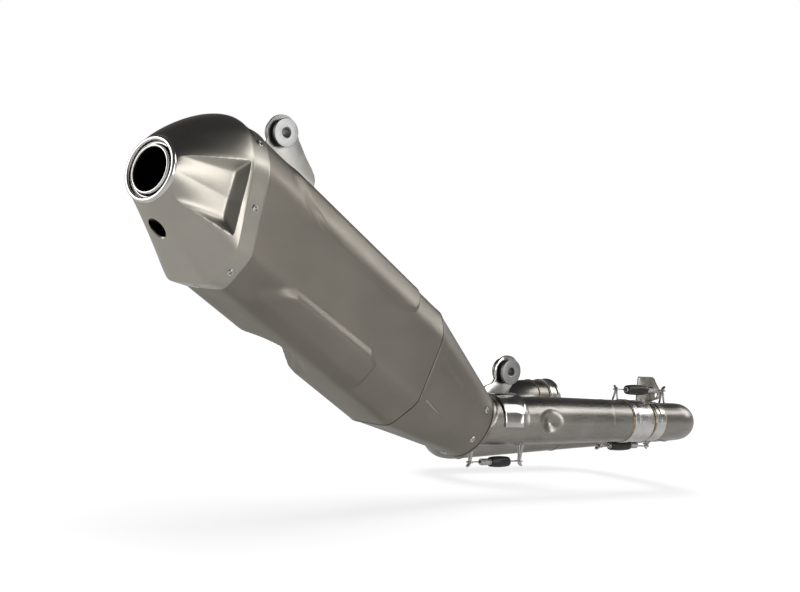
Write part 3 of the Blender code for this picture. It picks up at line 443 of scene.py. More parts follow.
def build_cone():
    angles = ring_angles(240)
    start, end = SLEEVE_LENGTH + 0.0004, SLEEVE_LENGTH + CONE_LENGTH
    outer = [cone_ring(start, angles, 0.0009)]
    stations = crowded(start, end, 110, ((0.276, 0.004, 3.0), (0.290, 0.007, 1.5)))
    outer += [cone_ring(x, angles) for x in stations]
    inner = [cone_ring(x, angles, SHEET) for x in np.linspace(end, start, 30)]
    return laid_skin("front_cone_shell", np.array(outer + inner), MUFFLER)


finish_piece(build_cone(), SLEEVE_FINISH, "blasted_titanium", "muffler", "front_cone")

# Outlet -------------------------------------------------------------------------------------------
# A turned titanium collar with a rolled lip is welded to the cap's throat, and the noise insert slides
# into it, so the mouth shows two bright rings with a groove between. Both are polished, with fine
# marks from the lathe, and the bore behind them is painted near black as its shade.

OUTLET = CAP @ Matrix.Translation((0.0, OUTLET_ACROSS, OUTLET_UP)) @ Matrix.Rotation(-math.pi / 2, 4, "Y")


def rounded(profile, radii, steps=5):
    """A profile with an arc in place of each corner that has a radius."""
    made = []
    count = len(profile)
    for i, corner in enumerate(profile):
        radius = radii[i] if i < len(radii) else 0.0
        here = Vector(corner)
        back, ahead = Vector(profile[i - 1]) - here, Vector(profile[(i + 1) % count]) - here
        if radius <= 0.0:
            made.append(tuple(here))
            continue
        half = back.angle(ahead) / 2
        reach = min(radius / math.tan(half), back.length * 0.49, ahead.length * 0.49)
        radius = reach * math.tan(half)
        start, end = here + back.normalized() * reach, here + ahead.normalized() * reach
        centre = here + (back.normalized() + ahead.normalized()).normalized() * (radius / math.sin(half))
        sweep = math.pi - 2 * half
        for step in range(steps + 1):
            share = step / steps
            one, two = math.sin((1 - share) * sweep), math.sin(share * sweep)
            made.append(tuple(centre + ((start - centre) * one + (end - centre) * two) / math.sin(sweep)))
    return made


def turned(name, profile, place, steps=96, smooth_angle=40):
    """A lathe piece: a closed profile of (radius, height) spun round the place's Z axis."""
    bpy.ops.mesh.primitive_circle_add(vertices=len(profile))
    piece = bpy.context.object
    piece.name = name
    for vertex, (radius, height) in zip(piece.data.vertices, profile):
        vertex.co = (radius, 0.0, height)
    bpy.ops.object.mode_set(mode="EDIT")
    bpy.ops.mesh.select_all(action="SELECT")
    bpy.ops.mesh.spin(steps=steps, angle=math.tau, center=(0, 0, 0), axis=(0, 0, 1))
    bpy.ops.mesh.select_all(action="SELECT")
    bpy.ops.mesh.remove_doubles(threshold=0.000002)
    bpy.ops.mesh.dissolve_degenerate(threshold=0.000002)
    bpy.ops.mesh.normals_make_consistent(inside=False)
    bpy.ops.object.mode_set(mode="OBJECT")
    piece.data.transform(place)
    bpy.ops.object.shade_smooth_by_angle(angle=math.radians(smooth_angle))
    piece.select_set(False)
    return piece


COLLAR = [(0.0270, 0.0772), (0.0270, 0.0854), (0.0234, 0.0854), (0.0229, 0.0818), (0.0212, 0.0815)]
COLLAR += [(0.0206, 0.0800), (0.0203, 0.0780), (0.0203, 0.0385), (0.0213, 0.0385), (0.0213, 0.0772)]
COLLAR_ROUNDING = (0.0, 0.0017, 0.0014, 0.0012, 0.0006, 0.0004)
INSERT = [(0.0200, 0.0600), (0.0200, 0.0848), (0.0181, 0.0848), (0.0179, 0.0826)]
INSERT += [(0.0179, 0.0392), (0.0200, 0.0392)]
INSERT_ROUNDING = (0.0, 0.0009, 0.0008, 0.0004)


def place_axes(nodes, links, place):
    """Each point's X, Y and Z in a lathe piece's own place."""
    where = nodes.new("ShaderNodeTexCoord")
    mapping = nodes.new("ShaderNodeMapping")
    inverse = place.inverted()
    mapping.inputs["Location"].default_value = inverse.translation
    mapping.inputs["Rotation"].default_value = inverse.to_euler()
    apart = nodes.new("ShaderNodeSeparateXYZ")
    links.new(where.outputs["Object"], mapping.inputs["Vector"])
    links.new(mapping.outputs["Vector"], apart.inputs["Vector"])
    return apart


def turning_marks(nodes, links, place, rings_per_metre):
    """The fine rings that a lathe leaves round the place's own Z axis."""
    apart = place_axes(nodes, links, place)
    noise = nodes.new("ShaderNodeTexNoise")
    noise.noise_dimensions = "2D"
    length = nodes.new("ShaderNodeVectorMath")
    length.operation = "LENGTH"
    flat = nodes.new("ShaderNodeCombineXYZ")
    polar = nodes.new("ShaderNodeCombineXYZ")
    links.new(apart.outputs["X"], flat.inputs["X"])
    links.new(apart.outputs["Y"], flat.inputs["Y"])
    links.new(flat.outputs["Vector"], length.inputs[0])
    links.new(length.outputs["Value"], polar.inputs["X"])
    links.new(apart.outputs["Z"], polar.inputs["Y"])
    links.new(polar.outputs["Vector"], noise.inputs["Vector"])
    noise.inputs["Scale"].default_value = rings_per_metre
    noise.inputs["Detail"].default_value = 3.0
    return noise.outputs["Fac"]


def machined(name, colour, roughness, place, strength=0.25):
    """Turned metal, bright, with the rings of the cutter."""
    made, nodes, links, shader = new_material(name)
    marks = turning_marks(nodes, links, place, 2600.0)
    tone = placed_group(nodes, SHEET_TONE)
    dull = tuple(part * 0.90 for part in colour)
    toned = blend_colours(nodes, links, tone.outputs["Smudge"], (*colour, 1), (*dull, 1))
    links.new(toned, shader.inputs["Base Color"])
    links.new(shift(nodes, links, marks, roughness - 0.04, roughness + 0.06), shader.inputs["Roughness"])
    shader.inputs["Metallic"].default_value = 1.0
    add_bump(nodes, links, shader, marks, strength, 0.0001)
    return made


OUTLET_FINISH = machined("polished_outlet", (0.80, 0.79, 0.77), 0.16, OUTLET)


def lip_and_shaded_bore(name, lip_height):
    """Polished at the lip, and painted near black further in as the shade of the bore, with a brown mottle,
    by the depth along the outlet's axis.
    """
    made, nodes, links, shader = new_material(name)
    marks = turning_marks(nodes, links, OUTLET, 2600.0)
    apart = place_axes(nodes, links, OUTLET)
    bright = shift(nodes, links, apart.outputs["Z"], 0.0, 1.0, lip_height - 0.0030, lip_height - 0.0008)
    bore_mottle = object_noise(nodes, links, 160.0, 4.0)
    # Deeper than the lip the metal is painted near black with a brown mottle: painted shade of the bore.
    black, brown = (0.012, 0.011, 0.010, 1), (0.045, 0.042, 0.038, 1)
    dark = blend_colours(nodes, links, bore_mottle.outputs["Fac"], black, brown)
    toned = blend_colours(nodes, links, bright, dark, (0.80, 0.79, 0.77, 1))
    links.new(toned, shader.inputs["Base Color"])
    links.new(shift(nodes, links, bright, 0.42, 0.15, 0.0, 1.0), shader.inputs["Roughness"])
    shader.inputs["Metallic"].default_value = 1.0
    add_bump(nodes, links, shader, marks, 0.2, 0.0001)
    return made


collar = turned("outlet_ring", rounded(COLLAR, COLLAR_ROUNDING), OUTLET, 128)
finish_piece(collar, OUTLET_FINISH, "machined_titanium", "muffler", "outlet_collar")
insert = turned("noise_insert", rounded(INSERT, INSERT_ROUNDING), OUTLET, 128)
finish_piece(insert, lip_and_shaded_bore("insert_painted_bore_shade", 0.0848), "machined_titanium", "quiet_insert", "outlet_insert")

# Lock screw ---------------------------------------------------------------------------------------
# A cap screw sunk in a round boss under the cone keeps the insert from sliding out. The cone is
# pierced round the boss, and the boss is blasted titanium painted near black as the shade in the
# hole; the screw is blackened steel with a hexagon socket.

SCREW_BACK, SCREW_ANGLE = 0.062, math.radians(-88)
SCREW_FOOT = OUTLET @ Vector((0.0, 0.0, SCREW_BACK))
SCREW_OUT = (CAP.to_3x3() @ Vector((0.0, math.cos(SCREW_ANGLE), math.sin(SCREW_ANGLE)))).normalized()
SCREW = Matrix.Translation(SCREW_FOOT) @ SCREW_OUT.to_track_quat("Z", "Y").to_matrix().to_4x4()
BOSS = [(0.0078, 0.0230), (0.0078, 0.0372), (0.0063, 0.0372), (0.0061, 0.0258)]
BOSS += [(0.0033, 0.0256), (0.0033, 0.0230)]
SCREW_HEAD = [(0.0, 0.0222), (0.0030, 0.0222), (0.0030, 0.0262), (0.0050, 0.0264), (0.0050, 0.0312)]
SCREW_HEAD += [(0.0029, 0.0312), (0.0029, 0.0284), (0.0, 0.0278)]


def pierce(piece, place, radius, low, high, stretch=1.0):
    """Drills a round or stretched hole through a piece, along the place's Z axis."""
    middle = place @ Vector((0.0, 0.0, (low + high) / 2))
    turn = place.to_quaternion().to_euler()
    bpy.ops.mesh.primitive_cylinder_add(vertices=72, radius=radius, depth=high - low)
    drill = bpy.context.object
    drill.location, drill.rotation_euler = middle, turn
    drill.scale = (1.0, stretch, 1.0)
    cut = piece.modifiers.new("hole", "BOOLEAN")
    cut.operation = "DIFFERENCE"
    cut.solver = "EXACT"
    cut.object = drill
    bpy.context.view_layer.objects.active = piece
    bpy.ops.object.modifier_apply(modifier=cut.name)
    bpy.data.objects.remove(drill)
    return piece


def black_oxide_and_shade(name):
    """Blackened steel: nearly black, with a soft oily sheen. It also serves as painted shade, on the screw's
    boss and in the rivets' holes.
    """
    dark, light = (0.014, 0.014, 0.015), (0.040, 0.039, 0.038)
    return toned_metal(name, (300.0, 3.0), dark, light, (0.26, 0.42), spread=(0.0, 1.0))


pierce(cap_shell, SCREW, 0.0080, 0.026, 0.070)
finish_piece(cap_shell, CAP_FINISH, "blasted_titanium", "muffler", "end_cap")
# The boss is painted near black as the shade in the screw's hole.
boss = turned("lock_screw_boss", rounded(BOSS, (0.0, 0.0006, 0.0006, 0.0005)), SCREW, 64)
finish_piece(boss, black_oxide_and_shade("shaded_boss"), "blasted_titanium", "muffler", "screw_boss")
screw = turned("lock_screw_head", rounded(SCREW_HEAD, (0.0, 0.0, 0.0, 0.0, 0.0007, 0.0003)), SCREW, 48)
finish_piece(screw, black_oxide_and_shade("black_screw"), "spring_steel", "lock_screw", "insert_lock_screw")

# Rivets -------------------------------------------------------------------------------------------
# Blind rivets of stainless steel hold the end cap and the front cone to the sleeve's lips. Each has a
# low domed head, with a hole where its pulling pin broke off, painted near black as shade.

RIVET = [(0.0, -0.0004), (0.0033, -0.0004), (0.0034, 0.0002), (0.0027, 0.0011), (0.0019, 0.0012)]
RIVET += [(0.0015, 0.0007), (0.0012, 0.0), (0.0011, -0.0002), (0.0, -0.0002)]
CAP_RIVET_X = -0.0085
CAP_RIVET_DIRECTIONS = (90.0, 125.5, 181.0, 236.0, 270.0, 304.0, -1.0, 54.5)
CONE_RIVET_X = SLEEVE_LENGTH + 0.885 * CONE_LENGTH
CONE_RIVET_DIRECTIONS = (90.0, 165.0, 214.5, 270.0, 325.5, 15.0)


def stainless(name):
    """Bright stainless steel with fine scratches."""
    scratches = (700.0, 3.0, (0.2, 1.0, 1.0))
    dark, light = (0.50, 0.49, 0.48), (0.72, 0.71, 0.70)
    return toned_metal(name, scratches, dark, light, (0.16, 0.30), 0.15, 0.00005, (0.0, 1.0))


STAINLESS, PAINTED_HOLE_SHADE = stainless("rivet_stainless"), black_oxide_and_shade("rivet_hole_painted_shade")
HOLE_RADIUS = 0.00125


def build_rivet():
    """One rivet at the origin, with its head towards +Z and its hole painted near black as shade."""
    profile = rounded(RIVET, (0.0, 0.0, 0.0002, 0.0006, 0.0003))
    piece = turned("rivet_head", profile, Matrix.Identity(4), 32, 50)
    piece.data.materials.append(STAINLESS)
    piece.data.materials.append(PAINTED_HOLE_SHADE)
    # The faces in the hole get the near-black finish: painted shade.
    for face in piece.data.polygons:
        if face.center.xy.length < HOLE_RADIUS and face.center.z > -0.0003:
            face.material_index = 1
    return piece


def surface_place(ring, x, direction):
    """A frame on a skin: its Z axis stands off the sheet, and its X axis runs forward."""
    angles, step = np.radians([direction - 0.5, direction, direction + 0.5]), 0.0004
    middle, ahead = ring(x, angles), ring(x + step, angles)
    forward = Vector(ahead[1] - middle[1]).normalized()
    outward = Vector(middle[2] - middle[0]).cross(forward).normalized()
    turn = Matrix((forward, outward.cross(forward), outward)).transposed().to_4x4()
    return Matrix.Translation(Vector(middle[1])) @ turn


def copied(piece, name, place):
    """A copy with a mesh of its own, put in its place."""
    twin = piece.copy()
    twin.data = piece.data.copy()
    twin.name = name
    bpy.context.collection.objects.link(twin)
    twin.data.transform(place)
    return twin


rivet = build_rivet()
for i, direction in enumerate(CAP_RIVET_DIRECTIONS):
    head = copied(rivet, f"cap_rivet_head_{i + 1}", CAP @ surface_place(cap_ring, CAP_RIVET_X, direction))
    settle(head, "spring_steel", "muffler", f"cap_rivet_{i + 1}")
for i, direction in enumerate(CONE_RIVET_DIRECTIONS):
    place = MUFFLER @ surface_place(cone_ring, CONE_RIVET_X, direction)
    head = copied(rivet, f"cone_rivet_head_{i + 1}", place)
    settle(head, "spring_steel", "muffler", f"cone_rivet_{i + 1}")
bpy.data.objects.remove(rivet)

# Inlet tube and flange ----------------------------------------------------------------------------
# The muffler's inlet is a mandrel-bent titanium tube that slips over the mid pipe. A pressed skirt with
# three slots closes the cone's oval end round it, and both are welded and left as drawn, with brown
# heat tints at the weld.

PIPE_Y, PIPE_Z = -0.066, -0.016
TUBE_WALL = 0.0012
INLET_RADIUS, INLET_FRONT_X, INLET_BEND = 0.0260, -0.1155, 0.060
FLANGE_NECK_X = -0.1715


def bend(before, corner, after, radius, steps=24):
    """The arc that rounds a corner of a tube's route."""
    back, ahead = (before - corner).normalized(), (after - corner).normalized()
    half = back.angle(ahead) / 2
    centre = corner + (back + ahead).normalized() * radius / math.sin(half)
    sweep = math.pi - 2 * half
    first, last = back * radius / math.tan(half), ahead * radius / math.tan(half)
    first, last = corner + first - centre, corner + last - centre
    points = []
    for i in range(steps + 1):
        one, two = math.sin((1 - i / steps) * sweep), math.sin(i / steps * sweep)
        points.append(centre + (first * one + last * two) / math.sin(sweep))
    return points


def dense(points, spacing):
    """The same route with a point at least every spacing."""
    made = [points[0]]
    for start, end in zip(points, points[1:]):
        count = max(1, round((end - start).length / spacing))
        made += [start.lerp(end, (i + 1) / count) for i in range(count)]
    return made


def swept(name, route, radius, wall=TUBE_WALL, welds=(), weld_width=0.006, sides=72):
    """A bent tube. Two attributes follow it: the tube's own straightened places, and heat near welds."""
    points = np.array([tuple(point) for point in route])
    tangents = np.gradient(points, axis=0)
    tangents /= np.linalg.norm(tangents, axis=1)[:, None]
    along = np.concatenate(([0.0], np.cumsum(np.linalg.norm(np.diff(points, axis=0), axis=1))))
    side = np.cross(tangents[0], (0.0, 0.0, 1.0) if abs(tangents[0][2]) < 0.9 else (0.0, 1.0, 0.0))
    around = np.linspace(0.0, math.tau, sides, endpoint=False)
    outer, inner, straight = [], [], []
    for point, tangent, distance in zip(points, tangents, along):
        side = side - tangent * side.dot(tangent)
        side /= np.linalg.norm(side)
        other = np.cross(tangent, side)
        rim = np.cos(around)[:, None] * side + np.sin(around)[:, None] * other
        reach = radius(point, rim, distance) if callable(radius) else radius
        reach = np.broadcast_to(reach, sides)[:, None]
        outer.append(point + rim * reach)
        inner.append(point + rim * (reach - wall))
        across = np.stack((np.cos(around), np.sin(around)), axis=1) * 0.022
        straight.append(np.column_stack((np.full(sides, distance), across)))
    rings = np.array(outer + inner[::-1])
    piece = laid_skin(name, rings, Matrix.Identity(4))
    flow = piece.data.attributes.new("straightened", "FLOAT_VECTOR", "POINT")
    flow.data.foreach_set("vector", np.array(straight + straight[::-1]).reshape(-1).astype(np.float32))
    heat = np.zeros(len(rings))
    total = along[-1]
    for i, distance in enumerate(list(along) + list(along[::-1])):
        for weld in welds:
            place = total + weld if weld < 0 else weld
            heat[i] = max(heat[i], math.exp(-(((distance - place) / weld_width) ** 2)))
    warm = piece.data.attributes.new("heat", "FLOAT", "POINT")
    warm.data.foreach_set("value", np.repeat(heat, sides).astype(np.float32))
    return piece


def build_heat_tint():
    """The colours that titanium takes near a weld, from straw at the edge of the heat to brown and blue."""
    outputs = (("Colour", "Color"), ("Amount", "Float"))
    group, nodes, links, given, out = new_group("heat_tint", (("Heat", "Float", 0.0),), outputs)
    ragged = object_noise(nodes, links, 170.0, 3.0)
    total = nodes.new("ShaderNodeMath")
    total.operation = "MULTIPLY_ADD"
    links.new(shift(nodes, links, ragged.outputs["Fac"], 0.55, 1.25), total.inputs[0])
    links.new(given.outputs["Heat"], total.inputs[1])
    total.inputs[2].default_value = 0.0
    ramp = nodes.new("ShaderNodeValToRGB")
    ramp.color_ramp.elements[0].position, ramp.color_ramp.elements[0].color = 0.12, (0.46, 0.43, 0.37, 1)
    ramp.color_ramp.elements[1].position, ramp.color_ramp.elements[1].color = 0.95, (0.16, 0.14, 0.15, 1)
    browns = ((0.35, (0.27, 0.19, 0.115, 1)), (0.60, (0.115, 0.070, 0.042, 1)))
    for position, colour in (*browns, (0.78, (0.055, 0.042, 0.036, 1))):
        ramp.color_ramp.elements.new(position).color = colour
    links.new(total.outputs["Value"], ramp.inputs["Fac"])
    links.new(ramp.outputs["Color"], out.inputs["Colour"])
    links.new(shift(nodes, links, total.outputs["Value"], 0.0, 0.92, 0.05, 0.45), out.inputs["Amount"])
    return group


HEAT_TINT = build_heat_tint()


def colour_with_heat(nodes, links, shader, base):
    """Lays the heat tints over a base colour, where the piece's heat attribute says."""
    warm = nodes.new("ShaderNodeAttribute")
    warm.attribute_name = "heat"
    tint = placed_group(nodes, HEAT_TINT)
    links.new(warm.outputs["Fac"], tint.inputs["Heat"])
    toned = blend_colours(nodes, links, tint.outputs["Amount"], base, tint.outputs["Colour"])
    links.new(toned, shader.inputs["Base Color"])


def flow_noise(nodes, links, scale, detail, stretch):
    """Noise over a tube's own straightened places, so that streaks follow its bends."""
    where = nodes.new("ShaderNodeAttribute")
    where.attribute_name = "straightened"
    mapping = nodes.new("ShaderNodeMapping")
    mapping.inputs["Scale"].default_value = stretch
    noise = nodes.new("ShaderNodeTexNoise")
    noise.inputs["Scale"].default_value = scale
    noise.inputs["Detail"].default_value = detail
    links.new(where.outputs["Vector"], mapping.inputs["Vector"])
    links.new(mapping.outputs["Vector"], noise.inputs["Vector"])
    return noise.outputs["Fac"]


def drawn_tube(name, dark, light, roughness):
    """Titanium tube as drawn and brushed: streaks along it, faint rings round it, tints at its welds."""
    made, nodes, links, shader = new_material(name)
    streaks = flow_noise(nodes, links, 420.0, 5.0, (0.10, 1.0, 1.0))
    blotches = flow_noise(nodes, links, 55.0, 4.0, (0.55, 1.0, 1.0))
    rings = flow_noise(nodes, links, 900.0, 2.0, (1.0, 0.06, 0.06))
    colour = blend_colours(nodes, links, shift(nodes, links, blotches, 0.0, 1.0), (*dark, 1), (*light, 1))
    streak = (*(part * 0.62 for part in dark), 1)
    worn = blend_colours(nodes, links, shift(nodes, links, streaks, 0.0, 0.22), colour, streak)
    colour_with_heat(nodes, links, shader, worn)
    rough = nodes.new("ShaderNodeMath")
    rough.operation = "ADD"
    links.new(shift(nodes, links, streaks, roughness - 0.03, roughness + 0.05), rough.inputs[0])
    links.new(shift(nodes, links, blotches, -0.02, 0.03), rough.inputs[1])
    links.new(rough.outputs["Value"], shader.inputs["Roughness"])
    shader.inputs["Metallic"].default_value = 1.0
    total = nodes.new("ShaderNodeMath")
    total.operation = "ADD"
    links.new(streaks, total.inputs[0])
    links.new(rings, total.inputs[1])
    add_bump(nodes, links, shader, total.outputs["Value"], 0.035, 0.0001)
    return made


DRAWN_TUBE = drawn_tube("drawn_titanium_tube", (0.31, 0.292, 0.265), (0.39, 0.368, 0.335), 0.30)


def inlet_route():
    forward = (MUFFLER.to_3x3() @ Vector((1.0, 0.0, 0.0))).normalized()
    corner = REAR_SEAM + forward * ((REAR_SEAM.z - PIPE_Z) / -forward.z)
    back = corner - forward * 0.067
    corner = Vector((corner.x, PIPE_Y, PIPE_Z))
    front = Vector((INLET_FRONT_X, PIPE_Y, PIPE_Z))
    lip = front - Vector((0.0012, 0.0, 0.0))
    return dense([front, lip, *bend(front, corner, back, INLET_BEND), back], 0.004)


def inlet_reach(point, rim, distance):
    """The tube's radius, with a fine rolled lip at its front end."""
    return INLET_RADIUS + 0.0005 * math.exp(-((distance / 0.0012) ** 2))


inlet = swept("inlet_pipe", inlet_route(), inlet_reach, welds=(0.0595,), weld_width=0.013)
finish_piece(inlet, DRAWN_TUBE, "brushed_titanium", "muffler", "inlet_tube")


def build_flange():
    """The skirt, with a rolled edge at the cone and a short collar round the tube."""
    angles = np.linspace(0.0, math.tau, 120, endpoint=False)
    reach = INLET_RADIUS + 0.0003
    across, up = reach * np.cos(angles), reach * np.sin(angles)
    neck_x = FLANGE_NECK_X + up * math.tan(SLEEVE_SLOPE) - across * math.tan(YAW)
    world = np.stack((neck_x, PIPE_Y + across, PIPE_Z + up), axis=-1)
    into = np.array(MUFFLER.inverted())
    neck = world @ into[:3, :3].T + into[:3, 3]
    end = SLEEVE_LENGTH + CONE_LENGTH
    edge_across = OVAL_ACROSS + (OVAL_WIDTH + 0.0006) * np.cos(angles)
    edge_up = OVAL_UP + (OVAL_HEIGHT + 0.0006) * np.sin(angles)
    edge = np.stack((np.full_like(angles, end - 0.0002), edge_across, edge_up), axis=-1)
    centre = edge.mean(axis=0)
    rings = [edge + (centre - edge) * 0.02, edge, edge + np.array((0.0012, 0.0, 0.0))]
    rings.append(edge + (centre - edge) * 0.018 + np.array((0.0020, 0.0, 0.0)))
    start = rings[-1]
    for i in range(1, 13):
        share = i / 12
        sag = 0.0016 * math.sin(math.pi * share)
        ring = start + (neck - start) * share
        rings.append(ring + (centre - ring) / np.linalg.norm(centre - ring, axis=1)[:, None] * sag)
    collar = np.array(MUFFLER.inverted().to_3x3() @ Vector((0.003, 0.0, 0.0)))
    rings.append(neck + collar)
    inner = [ring + (ring.mean(axis=0) - ring) * 0.028 for ring in rings[::-1]]
    return laid_skin("inlet_skirt", np.array(rings + inner), MUFFLER)


def pierce_slots(piece):
    """Three slots through the skirt's outer side, each aimed across the muffler."""
    for up in (-0.002, -0.014, -0.025):
        middle = Vector((SLEEVE_LENGTH + CONE_LENGTH + 0.007, OVAL_ACROSS, up))
        side = Vector((0.0, -1.0, up * 10)).normalized()
        place = MUFFLER @ Matrix.Translation(middle) @ side.to_track_quat("Z", "X").to_matrix().to_4x4()
        pierce(piece, place, 0.0015, 0.018, 0.060, 1.9)


skirt = build_flange()
pierce_slots(skirt)
heat = skirt.data.attributes.new("heat", "FLOAT", "POINT")
flow = skirt.data.attributes.new("straightened", "FLOAT_VECTOR", "POINT")
flow.data.foreach_set("vector", [value for vertex in skirt.data.vertices for value in vertex.co])
warmth = [float(0.62 * eased(-0.182, -0.168, vertex.co.x)) for vertex in skirt.data.vertices]
heat.data.foreach_set("value", warmth)
finish_piece(skirt, DRAWN_TUBE, "brushed_titanium", "muffler", "inlet_flange")

# Brackets -----------------------------------------------------------------------------------------
# Each mounting eye is cut from titanium plate. The rear one stands on a web and a foot welded to the
# sleeve's upper left flat; the front one stands on a saddle rolled round the inlet tube. The plate is
# satin, and the saddle is polished.

PLATE = 0.0025
EYE_RADIUS, EYE_HOLE = 0.0165, 0.0105
BUSH_FACE_Y, BUSH_LENGTH = -0.0596, 0.016
EYE_Y = BUSH_FACE_Y + BUSH_LENGTH / 2
REAR_EYE, FRONT_EYE = Vector((-0.425, EYE_Y, 0.2436)), Vector((-0.116, EYE_Y, 0.0335))


def eye_place(eye):
    """A frame at an eye, with its X forward, its Y up and its Z towards the right-hand side."""
    return Matrix.Translation(eye) @ Matrix.Rotation(math.radians(90), 4, "X")


def arc_points(radius, start, end, steps):
    angles = np.radians(np.linspace(start, end, steps + 1))
    return [(radius * math.cos(angle), radius * math.sin(angle)) for angle in angles]


def cut_plate(name, corners, thickness, place):
    """A flat plate of the outline, standing in the place's XY plane."""
    bpy.ops.mesh.primitive_circle_add(vertices=len(corners), fill_type="NGON")
    piece = bpy.context.object
    piece.name = name
    for vertex, (x, y) in zip(piece.data.vertices, corners):
        vertex.co = (x, y, -thickness / 2)
    bpy.ops.object.mode_set(mode="EDIT")
    bpy.ops.mesh.select_all(action="SELECT")
    bpy.ops.mesh.extrude_region_move(TRANSFORM_OT_translate={"value": (0.0, 0.0, thickness)})
    bpy.ops.mesh.select_all(action="SELECT")
    bpy.ops.mesh.normals_make_consistent(inside=False)
    bpy.ops.object.mode_set(mode="OBJECT")
    piece.data.transform(place)
    piece.select_set(False)
    return piece


def joined(piece, other):
    """Welds another solid to the piece."""
    weld = piece.modifiers.new("weld", "BOOLEAN")
    weld.operation = "UNION"
    weld.solver = "EXACT"
    weld.object = other
    bpy.context.view_layer.objects.active = piece
    bpy.ops.object.modifier_apply(modifier=weld.name)
    bpy.data.objects.remove(other)
    return piece


def softened(piece, width, angle=35.0, segments=2):
    """Breaks the sharp edges of a piece and shades it smooth."""
    edge = piece.modifiers.new("edge", "BEVEL")
    edge.width, edge.segments = width, segments
    edge.limit_method, edge.angle_limit = "ANGLE", math.radians(angle)
    edge.harden_normals = False
    bpy.context.view_layer.objects.active = piece
    bpy.ops.object.modifier_apply(modifier=edge.name)
    piece.select_set(True)
    bpy.ops.object.shade_smooth_by_angle(angle=math.radians(40))
    piece.select_set(False)
    return piece


def flat_bar(name, lower, upper):
    """A bar with four corners below and four above, such as a web between a plate and a sloping flat."""
    bpy.ops.mesh.primitive_cube_add(size=0.01)
    piece = bpy.context.object
    piece.name = name
    for vertex in piece.data.vertices:
        side = (vertex.co.x > 0, vertex.co.y > 0)
        vertex.co = (upper if vertex.co.z > 0 else lower)[side]
    bpy.ops.object.mode_set(mode="EDIT")
    bpy.ops.mesh.select_all(action="SELECT")
    bpy.ops.mesh.quads_convert_to_tris()
    bpy.ops.mesh.normals_make_consistent(inside=False)
    bpy.ops.object.mode_set(mode="OBJECT")
    piece.select_set(False)
    return piece


def on_flat(x, slide, lift):
    """A place over the sleeve's upper left flat, at x along the sleeve."""
    angle = math.radians(CHAMFERS[0][0])
    outward = Vector((0.0, math.cos(angle), math.sin(angle)))
    along = Vector((0.0, -math.sin(angle), math.cos(angle)))
    return MUFFLER @ (outward * (CHAMFERS[0][1] + lift) + along * slide + Vector((x, 0.0, 0.0)))


def build_rear_bracket():
    place = eye_place(REAR_EYE)
    shape = arc_points(EYE_RADIUS, 205, 8, 26) + [(0.0195, -0.0050), (0.0290, -0.0196), (0.0365, -0.0292)]
    shape += [(0.0400, -0.0350), (0.0412, -0.0400), (0.0404, -0.0455)]
    shape += [(-0.0130, -0.0455), (-0.0192, -0.0180)]
    plate = pierce(cut_plate("rear_bracket_plate", shape, PLATE, place), place, EYE_HOLE, -0.01, 0.01)


    def corners(put, back, ahead, near, far):
        """The four corners of a face, keyed by whether each is the front one and the far one."""
        sides = ((False, near), (True, far))
        return {(front, away): put(x, y) for front, x in ((False, back), (True, ahead)) for away, y in sides}

    top = corners(lambda x, y: place @ Vector((x, -0.0440, y)), -0.0125, 0.0398, -PLATE / 2, PLATE / 2)
    weld = corners(lambda x, y: on_flat(x, y, 0.0011), 0.076, 0.128, -0.0004, 0.0024)
    joined(plate, flat_bar("rear_web", weld, top))
    low = corners(lambda x, y: on_flat(x, y, 0.0006), 0.070, 0.134, -0.008, 0.006)
    high = corners(lambda x, y: on_flat(x, y, 0.0026), 0.070, 0.134, -0.008, 0.006)
    joined(plate, flat_bar("rear_foot", low, high))
    return softened(plate, 0.0005)


SADDLE_REAR_X, SADDLE_FRONT_X, SADDLE_SHEET = -0.1505, -0.1175, 0.0014


def build_saddle():
    """A rolled sheet over the top of the inlet tube, with its front edge drawn in to the eye."""
    bpy.ops.mesh.primitive_grid_add(x_subdivisions=14, y_subdivisions=56, size=1.0)
    piece = bpy.context.object
    piece.name = "saddle_sheet"
    for vertex in piece.data.vertices:
        share, turn = vertex.co.x + 0.5, math.radians(124 + vertex.co.y * 128)
        drawn_in = 0.008 * eased(120, 180, math.degrees(turn)) + 0.004 * eased(95, 62, math.degrees(turn))
        reach = INLET_RADIUS + 0.0003 + 0.0008 * share**6
        x = SADDLE_REAR_X + (SADDLE_FRONT_X - drawn_in - SADDLE_REAR_X) * share
        vertex.co = (x, PIPE_Y + reach * math.cos(turn), PIPE_Z + reach * math.sin(turn))
    turn_faces_outward()
    middle = piece.data.polygons[len(piece.data.polygons) // 2]
    outward = middle.center - Vector((middle.center.x, PIPE_Y, PIPE_Z))
    wall = piece.modifiers.new("wall", "SOLIDIFY")
    wall.thickness = SADDLE_SHEET if middle.normal.dot(outward) > 0 else -SADDLE_SHEET
    wall.offset = 1.0
    wall.use_even_offset = True
    bpy.ops.object.modifier_apply(modifier=wall.name)
    turn_faces_outward()
    piece.select_set(False)
    return piece


def build_front_bracket():
    place = eye_place(FRONT_EYE)
    foot = PIPE_Z - FRONT_EYE.z + INLET_RADIUS - 0.003
    shape = arc_points(EYE_RADIUS, 205, -30, 28)
    shape += [(0.0085, foot + 0.012), (0.0020, foot), (-0.0335, foot)]
    shape += [(-0.0335, foot + 0.0060), (-0.0270, foot + 0.0110), (-0.0190, -0.0130)]
    plate = pierce(cut_plate("front_bracket_plate", shape, PLATE, place), place, EYE_HOLE, -0.01, 0.01)
    bore = Matrix.Translation((-0.13, PIPE_Y, PIPE_Z)) @ Matrix.Rotation(math.radians(90), 4, "Y")
    pierce(plate, bore, INLET_RADIUS + 0.0004, -0.04, 0.04)
    return softened(joined(plate, build_saddle()), 0.0004, 50.0)


